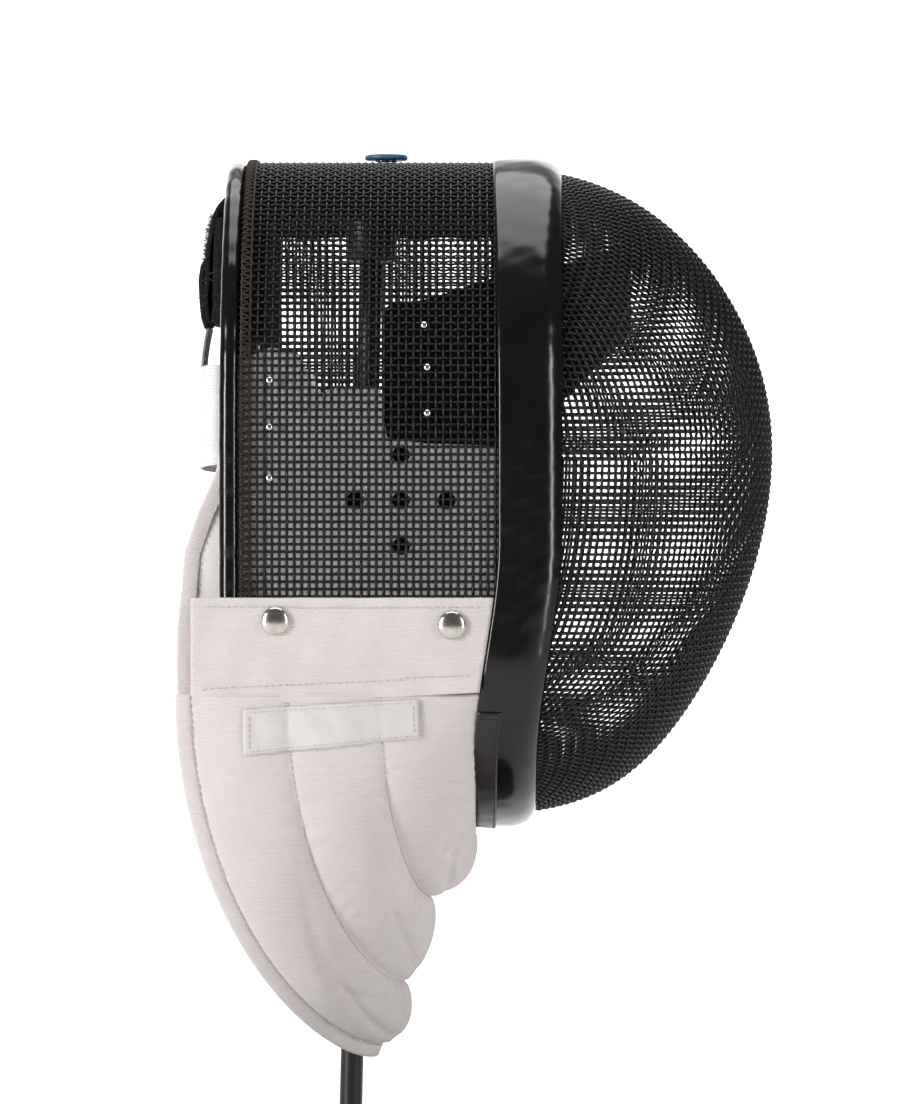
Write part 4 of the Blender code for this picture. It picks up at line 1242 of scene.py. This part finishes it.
def ear_holes():
    spread = EAR_HOLE_SPREAD
    offsets = ((0.0, 0.0), (spread, 0.0), (-spread, 0.0), (0.0, spread), (0.0, -spread))
    return [(EAR_CENTRE_Y + along, EAR_CENTRE_Z + up) for along, up in offsets]


def liner_surface(side, y, z, lift=0.0):
    """Point of the liner's outer face, lifted towards the mesh."""
    return np.stack([side * (outline_x(z, liner_inset(y)) + lift), y + 0.0 * z, z + 0.0 * y], axis=-1)


def liner(side_name, side, cloth, tape_cloth, backing, thread_material):
    """White panel with an ear opening of five holes, bound along its edge."""
    edge_y = np.array([row[0] for row in LINER_EDGE])
    edge_z = np.array([row[1] for row in LINER_EDGE])
    y = np.linspace(edge_y[0], edge_y[-1], LINER_COLUMNS)
    top = np.interp(y, edge_y, edge_z)
    share = np.linspace(0.0, 1.0, LINER_LEVELS)
    y_grid = np.repeat(y[:, None], LINER_LEVELS, axis=1)
    z_grid = mix(LINER_FOOT_Z, top[:, None], share[None, :])
    pitch = y[1] - y[0]
    quads = grid_quads(LINER_COLUMNS, LINER_LEVELS)
    keep = np.ones(len(quads), bool)
    for hole_y, hole_z in ear_holes():
        off = np.hypot(y_grid - hole_y, z_grid - hole_z)
        near = np.abs(off - EAR_HOLE_RADIUS) < 0.62 * pitch
        scale = np.where(near, EAR_HOLE_RADIUS / np.maximum(off, 1e-6), 1.0)
        y_grid = hole_y + (y_grid - hole_y) * scale
        z_grid = hole_z + (z_grid - hole_z) * scale
        middle_y = y_grid.ravel()[quads].mean(axis=1)
        middle_z = z_grid.ravel()[quads].mean(axis=1)
        keep &= np.hypot(middle_y - hole_y, middle_z - hole_z) > EAR_HOLE_RADIUS
    wave = 0.0003 * np.sin(y_grid * 210.0 + z_grid * 60.0) * np.sin(z_grid * 140.0)
    points = liner_surface(side, y_grid, z_grid, wave - 0.0003)
    quads = quads[keep]
    if side > 0:
        quads = quads[:, ::-1]
    mesh = mesh_from_faces("liner_cloth_" + side_name, points.reshape(-1, 3), quads)
    piece = new_piece("liner_cloth_" + side_name, mesh, cloth, "liner_" + side_name)
    add_shell(piece, LINER_WALL)
    # Bound edge down the rear
    edge_y, edge_z = edge_y[edge_y >= LINER_BEND_END_Y], edge_z[edge_y >= LINER_BEND_END_Y]
    fine = np.linspace(0.0, 1.0, 220)
    run = np.concatenate([[0.0], np.cumsum(np.hypot(np.diff(edge_y), np.diff(edge_z)))])
    line_y = np.interp(fine * run[-1], run, edge_y)
    line_z = np.interp(fine * run[-1], run, edge_z)
    last_y, last_z = LINER_EDGE[-1]
    rear = np.linspace(last_z, BIB_TOP_Z - LINER_TAIL_LAP, 70)[1:]
    tail_y = last_y + LINER_TAIL_SWEEP * smooth_step((last_z - rear) / LINER_TAIL_RISE)
    line_y = smoothed(np.concatenate([line_y, tail_y]), 15)
    line_z = smoothed(np.concatenate([line_z, rear]), 15)
    centre = liner_surface(side, line_y, line_z, -LINER_WALL / 2.0)
    along = unit(np.gradient(centre, axis=0))
    normal = np.tile([side, 0.0, 0.0], (len(centre), 1))
    across = unit(np.cross(along, normal)) * -side
    turn = np.linspace(0.0, 2.0 * math.pi, 17)[:-1]
    half_wide, half_thick = LINER_TAPE_HALF_WIDTH, LINER_TAPE_HALF_THICKNESS
    rows = []
    for angle in turn:
        wide = powered(math.cos(angle), 0.5) * half_wide
        thick = powered(math.sin(angle), 0.6) * half_thick
        rows.append(centre + across * (wide - half_wide * 0.7) + normal * thick)
    mesh = grid_mesh("liner_binding_" + side_name, np.stack(rows), closed_rows=True)
    tape = new_piece("liner_binding_" + side_name, mesh, tape_cloth)
    close_mesh(tape)
    stitch_line = centre - across * half_wide * 1.45 + normal * (half_thick + 0.0001)
    mesh = stitches_mesh("liner_stitches_" + side_name, [(stitch_line, normal)], pitch=0.0030)
    new_piece("liner_stitches_" + side_name, mesh, thread_material)
    # Dark cloth behind the ear holes, and a turned edge round each
    discs, rims = [], []
    reach, thick = EAR_HOLE_RADIUS + EAR_BACKING_LAP, EAR_BACKING_THICKNESS
    profile = ((0.0, thick), (reach, thick), (reach, 0.0), (0.0, 0.0))
    for hole_y, hole_z in ear_holes():
        around = np.linspace(0.0, 2.0 * math.pi, 25)[:-1]
        ring_y = hole_y + np.cos(around) * (EAR_HOLE_RADIUS + 0.0001)
        ring_z = hole_z + np.sin(around) * (EAR_HOLE_RADIUS + 0.0001)
        ring = liner_surface(side, ring_y, ring_z, -0.0002)
        out = np.tile([side, 0.0, 0.0], (len(ring), 1))
        rims.append(ring_tube("ear_rim", ring, out, EAR_RIM_RADIUS, 6))
        seat = liner_surface(side, np.array([hole_y]), np.array([hole_z]), -LINER_WALL - 0.0003)[0]
        discs.append(turned_mesh("ear_disc", profile, 24, seat, (side, 0.0, 0.0)))
    new_piece("ear_rims_" + side_name, join_meshes("ear_rims_" + side_name, rims), cloth)
    new_piece("ear_backing_" + side_name, join_meshes("ear_backing_" + side_name, discs), backing)


def ring_tube(name, ring, normals, radius, sides):
    """Closed tube along a ring of points."""
    along = unit(np.roll(ring, -1, axis=0) - np.roll(ring, 1, axis=0))
    beside = unit(np.cross(along, normals))
    upward = np.cross(beside, along)
    angle = 2.0 * math.pi * np.arange(sides) / sides
    grid = ring[:, None, :] + (beside[:, None, :] * np.cos(angle)[None, :, None]
                               + upward[:, None, :] * np.sin(angle)[None, :, None]) * radius
    return grid_mesh(name, grid, closed_rows=True, closed_columns=True, flip=True)


def foam_slab(name, outer, inner, material, node):
    """Foam pad with rounded edges between two grids."""
    piece = new_piece(name, slab_mesh(name, outer, inner), material, node)
    close_mesh(piece)
    round_edges(piece, PAD_ROUNDING, 3)


def dense_rows(table, count):
    """Smooth rows through a table, with the columns interpolated by row."""
    table = np.asarray(table, float)
    at = np.linspace(0.0, len(table) - 1.0, count)
    return [np.interp(at, np.arange(len(table)), table[:, column]) for column in range(table.shape[1])]


def forehead_pad(material):
    inset = MESH_WALL + LINER_WALL + 2.0 * FACET_GAP
    mirrored = [(-share, y, low, high) for share, y, low, high in FOREHEAD_ROWS[-2::-1]]
    share, y, low, high = dense_rows(list(FOREHEAD_ROWS) + mirrored, 161)
    level = np.linspace(0.0, 1.0, 13)[None, :]
    height = SPRING_Z + mix(low[:, None], high[:, None], level) * (CROWN_Z - SPRING_Z)
    grids = []
    for depth in (0.0, PAD_FOAM):
        x = -share[:, None] * (outline_x(height, inset) - depth)
        back = y[:, None] + depth * (1.0 - np.abs(share[:, None]) ** 3.0) + 0.0 * height
        grids.append(np.stack([x, back, height], axis=-1))
    foam_slab("forehead_foam", grids[0], grids[1], material, "forehead_pad")


def crown_pad(material):
    inset = MESH_WALL + FACET_GAP
    y = np.concatenate([np.linspace(CROWN_PAD_FRONT_Y, CROWN_PAD_LEG_Y - 0.0005, 24),
                        np.linspace(CROWN_PAD_LEG_Y, CROWN_PAD_REAR_Y, 4)])
    rows = []
    for station in y:
        foot = CROWN_PAD_SIDE_Z if station < CROWN_PAD_LEG_Y else CROWN_PAD_LEG_Z
        x, z, nx, nz = arch_line(foot, 121, inset)
        rows.append(np.stack([x, np.full_like(x, station), z, nx, nz], axis=-1))
    grid = np.stack(rows)
    outer = grid[..., :3]
    normal = np.stack([grid[..., 3], np.zeros(grid.shape[:2]), grid[..., 4]], axis=-1)
    puff = 0.0004 * np.sin(grid[..., 0] * 300.0) * np.sin(grid[..., 1] * 260.0)
    inner = outer - normal * (CROWN_FOAM + puff)[..., None]
    foam_slab("crown_foam", outer, inner, material, "crown_pad")


def strap_solid(name, grid, thickness, material, *nodes):
    """Closed webbing from a grid of its middle surface."""
    half = grid_normals(grid) * (thickness / 2.0)
    piece = new_piece(name, slab_mesh(name, grid + half, grid - half), material, *nodes)
    close_mesh(piece)
    round_edges(piece, thickness * 0.3, 2)


def elastic_strap(material):
    beside = LINER_WALL + FACET_GAP + STRAP_THICKNESS / 2.0
    rim_y = SIDE_MESH_REAR_Y + 2.0 * (GAP + RIM_RADIUS)
    height = np.linspace(STRAP_TOP_Z, STRAP_TOP_Z - STRAP_WIDTH, 31)
    end_y = np.linspace(STRAP_FRONT_Y, rim_y, 24)[:-1]
    turn = np.linspace(0.0, math.pi, 121)
    rows = []
    for index, z in enumerate(height):
        share = index / (len(height) - 1.0)
        rib = 0.00010 * math.cos(share * 2.0 * math.pi * 15.0)
        end_x = outline_x(np.full_like(end_y, z), liner_inset(end_y) + beside)
        half = float(outline_x(z, liner_inset(np.array(rim_y)) + beside))
        bow = (np.abs(np.sin(turn)) ** STRAP_BULGE) * (STRAP_BACK_Y - rim_y - STRAP_THICKNESS / 2.0 + rib)
        sag = -0.0012 * np.sin(turn) * (share - 0.2)
        left = np.stack([-end_x, end_y, np.full_like(end_y, z)], axis=-1)
        middle = np.stack([-half * np.cos(turn), rim_y + bow, z + sag], axis=-1)
        right = np.stack([end_x[::-1], end_y[::-1], np.full_like(end_y, z)], axis=-1)
        rows.append(np.concatenate([left, middle, right]))
    grid = np.stack(rows)
    strap_solid("elastic_webbing", grid, STRAP_THICKNESS, material, "elastic_strap")


def back_strap(material, fuzz_material):
    path_y, path_z = dense_rows(BACK_STRAP_PATH, 90)
    path_y, path_z = smoothed(path_y, 7), smoothed(path_z, 7)
    x = np.linspace(-BACK_STRAP_WIDTH / 2.0, BACK_STRAP_WIDTH / 2.0, 41)[None, :]
    bend = smooth_step((path_z - BACK_STRAP_BEND_Z) / BACK_STRAP_BEND_RISE)[:, None]
    drop = (CROWN_Z - SPRING_Z) * (1.0 - np.sqrt(1.0 - (x / HALF_WIDTH) ** 2)) * bend
    ripple = 0.00025 * np.sin(x * 420.0) * np.sin(path_z[:, None] * 300.0)
    grid = np.stack([x + 0.0 * bend, path_y[:, None] + ripple, path_z[:, None] - drop], axis=-1)
    strap_solid("back_strap_tape", grid, BACK_STRAP_THICKNESS, material, "back_strap")
    for name, (path, thickness) in BACK_STRAP_FOLDS.items():
        fold_y, fold_z = dense_rows(path, 40)
        fold_x = np.linspace(-BACK_STRAP_WIDTH / 2.0, BACK_STRAP_WIDTH / 2.0, 21)[None, :]
        fold = np.stack([fold_x + 0.0 * fold_y[:, None], fold_y[:, None] + 0.0002 * np.sin(fold_x * 500.0),
                         fold_z[:, None] + 0.0 * fold_x], axis=-1)
        strap_solid(name, fold, thickness, material)
    # Hooks and frayed loops on the outer face and along both edges
    chains = []
    for _ in range(FUZZ_COUNT):
        row, column = rng.integers(40, 88), rng.integers(0, 41)
        base = grid[row, column]
        outward = np.array([0.0, 1.0, 0.1])
        if abs(x[0, column]) >= 0.018:
            outward = np.array([math.copysign(1.0, x[0, column]), 0.5, 0.0])
        lean = rng.normal(0.0, 0.5, 3)
        length = rng.uniform(0.0012, 0.0030)
        direction = unit(outward + lean * 0.7)
        share = np.linspace(0.0, 1.0, 4)[:, None]
        reach = BACK_STRAP_THICKNESS / 2.0 * 0.8 + share * length
        line = base + direction * reach + lean * share ** 2 * 0.0004
        chains.append((line, np.tile([0.3, 0.2, 1.0], (4, 1))))
    mesh = tubes_mesh("back_strap_fuzz", chains, FUZZ_RADIUS, 3, caps=False)
    new_piece("back_strap_fuzz", mesh, fuzz_material)


def strap_loop(material):
    top_y, top_z = BACK_STRAP_PATH[-1]
    foot_z = STRAP_TOP_Z + GAP
    share = np.linspace(0.0, 1.0, 20)[:, None]
    x = np.linspace(-LOOP_WIDTH / 2.0, LOOP_WIDTH / 2.0, 21)[None, :]
    y = mix(top_y, STRAP_BACK_Y - STRAP_THICKNESS / 2.0, share) + 0.0004 * np.sin(share * math.pi)
    z = mix(top_z - GAP * 2.0, foot_z, share)
    grid = np.stack([x + 0.0 * share, y + 0.0 * x, z + 0.0 * x], axis=-1)
    strap_solid("strap_loop_webbing", grid, LOOP_THICKNESS, material, "strap_loop")


# Small metal and plastic pieces

def dome_profile(radius, height, edge, steps=12):
    """Low dome with an upright edge, from its foot to its crown."""
    foot = [(0.0, 0.0), (radius - 0.0001, 0.0), (radius, 0.0001)]
    arc = [(radius * math.cos(math.pi / 2.0 * step / steps),
            edge + (height - edge) * math.sin(math.pi / 2.0 * step / steps)) for step in range(steps)]
    return foot + arc + [(0.0, height)]


def fasteners(material):
    for side_name, side in (("right", -1.0), ("left", 1.0)):
        for place, y, z in STUDS:
            x = float(outline_x(z)) + BAND_THICKNESS + 2.0 * GAP
            mesh = turned_mesh("stud", dome_profile(STUD_RADIUS, STUD_HEIGHT, 0.0005), 40,
                               (side * x, y, z), (side, 0.0, 0.0))
            new_piece(f"stud_{place}_{side_name}", mesh, material, f"band_stud_{place}_{side_name}")
        for name, y, z in RIVETS:
            turn = math.atan2(z - SPRING_Z, float(outline_x(z)))
            nx, nz = outline_normal(turn)
            x_seat, z_seat = outline_point(turn)
            seat = (side * float(x_seat + nx * GAP), y, float(z_seat + nz * GAP))
            mesh = turned_mesh("rivet", dome_profile(RIVET_RADIUS, RIVET_HEIGHT, 0.0002, 8), 24,
                               seat, (side * float(nx), 0.0, float(nz)))
            new_piece(f"{name}_head_{side_name}", mesh, material, f"{name}_{side_name}")


def crown_button(plastic, metal):
    seat = CROWN_Z + GAP
    disc = ((0.0, 0.0), (WASHER_RADIUS, 0.0), (WASHER_RADIUS, WASHER_THICKNESS), (0.0, WASHER_THICKNESS))
    new_piece("washer", turned_mesh("washer", disc, 40, (0.0, BUTTON_Y, seat), (0.0, 0.0, 1.0)), metal,
              "crown_washer")
    radius, height, fillet = BUTTON_RADIUS, BUTTON_HEIGHT, BUTTON_FILLET
    profile = [(0.0, 0.0), (radius - 0.0004, 0.0), (radius, 0.0004), (radius, height - fillet)]
    profile += [(radius - fillet + fillet * math.cos(a), height - fillet + fillet * math.sin(a))
                for a in np.linspace(0.2, math.pi / 2.0, 7)]
    profile += [(radius * 0.45, height + 0.0001), (radius * 0.40, height - 0.0002), (0.0, height - 0.0002)]
    mesh = turned_mesh("button", profile, 56, (0.0, BUTTON_Y, seat + WASHER_THICKNESS + GAP), (0.0, 0.0, 1.0))
    new_piece("button", mesh, plastic, "crown_button")


# Stand

def stand(material):
    radius, shoulder = BASE_RADIUS - BASE_EDGE, BASE_HEIGHT - BASE_EDGE
    base = [(0.0, 0.0), (BASE_RADIUS - STAND_FILLET, 0.0), (BASE_RADIUS, STAND_FILLET),
            (BASE_RADIUS, shoulder)]
    base += [(radius + BASE_EDGE * math.cos(a), shoulder + BASE_EDGE * math.sin(a))
             for a in np.linspace(0.2, math.pi / 2.0, 6)]
    base += [(0.0, BASE_HEIGHT)]
    new_piece("stand_disc", turned_mesh("stand_disc", base, 128, (0.0, 0.0, 0.0), (0.0, 0.0, 1.0)), material,
              "stand_base")
    lean = math.tan(math.radians(POLE_LEAN_DEGREES))
    z = np.linspace(BASE_HEIGHT + GAP, BLOCK_FOOT_Z - GAP, 12)
    line = np.stack([np.zeros_like(z), -lean * z, z], axis=-1)
    mesh = tubes_mesh("stand_rod", [(line, np.tile([1.0, 0.0, 0.0], (len(z), 1)))], POLE_RADIUS, 32)
    new_piece("stand_rod", mesh, material, "stand_pole")
    pad_under = CROWN_Z - MESH_WALL - FACET_GAP - CROWN_FOAM
    sag = (CROWN_Z - SPRING_Z) * (1.0 - math.sqrt(1.0 - (BLOCK_RADIUS / HALF_WIDTH) ** 2))
    height = pad_under - sag - GAP - BLOCK_FOOT_Z
    inner = BLOCK_RADIUS - STAND_FILLET
    profile = ((0.0, 0.0), (inner, 0.0), (BLOCK_RADIUS, STAND_FILLET), (BLOCK_RADIUS, height - STAND_FILLET),
               (inner, height), (0.0, height))
    mesh = turned_mesh("stand_head", profile, 48, (0.0, -lean * BLOCK_FOOT_Z, BLOCK_FOOT_Z), (0.0, 0.0, 1.0))
    new_piece("stand_head", mesh, material, "stand_block")


# Stage and lights

def plain_material(name, colour, roughness=0.9):
    material = bpy.data.materials.new(name)
    material.use_nodes = True
    shader = material.node_tree.nodes["Principled BSDF"]
    shader.inputs["Base Color"].default_value = (*colour, 1.0)
    shader.inputs["Roughness"].default_value = roughness
    return material


def make_stage():
    """Pale floor that curves up into a backdrop on the far side."""
    bend = np.linspace(0.1, math.pi / 2.0, BEND_ROWS)
    along = np.concatenate([np.linspace(FLOOR_NEAR_X, FLOOR_BEND_X, FLOOR_ROWS),
                            FLOOR_BEND_X + FLOOR_BEND_RADIUS * np.sin(bend),
                            np.full(BACKDROP_ROWS, FLOOR_BEND_X + FLOOR_BEND_RADIUS)])
    high = np.concatenate([np.zeros(FLOOR_ROWS), FLOOR_BEND_RADIUS * (1.0 - np.cos(bend)),
                           np.linspace(BACKDROP_FOOT_Z, BACKDROP_TOP_Z, BACKDROP_ROWS)])
    wide = np.linspace(-FLOOR_HALF_WIDTH, FLOOR_HALF_WIDTH, FLOOR_ROWS)
    grid = np.stack([np.repeat(along[:, None], len(wide), 1), np.repeat(wide[None, :], len(along), 0),
                     np.repeat(high[:, None], len(wide), 1)], axis=-1)
    mesh = grid_mesh("studio_floor", grid, flip=True)
    floor = bpy.data.objects.new("studio_floor", mesh)
    bpy.context.scene.collection.objects.link(floor)
    mesh.materials.append(plain_material("studio_white", (0.86, 0.86, 0.86)))


def area_light(name, place, aim, size, power, colour=(1.0, 1.0, 1.0)):
    data = bpy.data.lights.new(name, "AREA")
    data.shape = "RECTANGLE"
    data.size, data.size_y = size
    data.energy = power
    data.color = colour
    light = bpy.data.objects.new(name, data)
    light.location = place
    light.rotation_euler = (Vector(aim) - Vector(place)).to_track_quat("-Z", "Y").to_euler()
    bpy.context.scene.collection.objects.link(light)


def make_lights():
    world = bpy.data.worlds.new("studio")
    world.use_nodes = True
    sky = world.node_tree.nodes["Background"]
    sky.inputs["Color"].default_value = (*WARM, 1.0)
    sky.inputs["Strength"].default_value = 0.10
    bpy.context.scene.world = world
    aim = (0.0, -0.05, 0.30)
    area_light("top_light", (0.2, -0.05, 1.8), aim, (1.6, 1.6), 26.0, WARM)
    area_light("front_left_light", (-1.25, -1.75, 0.6), aim, (0.30, 1.5), 16.0, WARM)
    area_light("front_right_light", (-1.25, 1.75, 0.6), aim, (0.45, 1.5), 44.0, WARM)
    area_light("backdrop_light", (1.2, 0.0, 1.6), (2.4, 0.0, 0.5), (2.2, 1.0), 60.0)
    bpy.context.scene.view_settings.view_transform = "Standard"


make_camera()
WIRE = black_wire()
VINYL = black_vinyl()
BROWN = brown_vinyl()
CLOTH = white_cloth()
# Thread greyer than the cloth: its own pale tone plus painted shade standing in for the needle holes and the
# seam's groove
WHITE_THREAD = thread("white_thread", (0.50, 0.47, 0.46), (0.68, 0.65, 0.63))
DARK_THREAD = thread("dark_thread", (0.012, 0.008, 0.007), (0.050, 0.035, 0.029))
ELASTIC = elastic_cloth()
LINER = liner_cloth()
FOAM = black_foam()
BLACK_WEB = webbing("black_webbing", (0.006, 0.006, 0.007), (0.022, 0.022, 0.025))
GREY_WEB = webbing("grey_webbing", (0.24, 0.24, 0.25), (0.42, 0.42, 0.44))
GREY_FUZZ = thread("grey_fuzz", (0.03, 0.03, 0.035), (0.24, 0.25, 0.27))
NICKEL = nickel()
STAND = black_metal()

side_mesh(WIRE)
face_mesh(WIRE)
front_trim(VINYL)
trim_flap(BROWN, DARK_THREAD)
rim_binding(VINYL, DARK_THREAD)
bib(CLOTH, WHITE_THREAD)
bib_binding(CLOTH, WHITE_THREAD)
for side_name, side_sign in (("right", -1.0), ("left", 1.0)):
    bib_band(side_name, side_sign, CLOTH, WHITE_THREAD)
    liner(side_name, side_sign, LINER, CLOTH, FOAM, WHITE_THREAD)
label(label_cloth(), WHITE_THREAD)
forehead_pad(FOAM)
crown_pad(FOAM)
elastic_strap(ELASTIC)
back_strap(BLACK_WEB, GREY_FUZZ)
strap_loop(GREY_WEB)
fasteners(NICKEL)
crown_button(blue_plastic(), NICKEL)
stand(STAND)
make_stage()
make_lights()
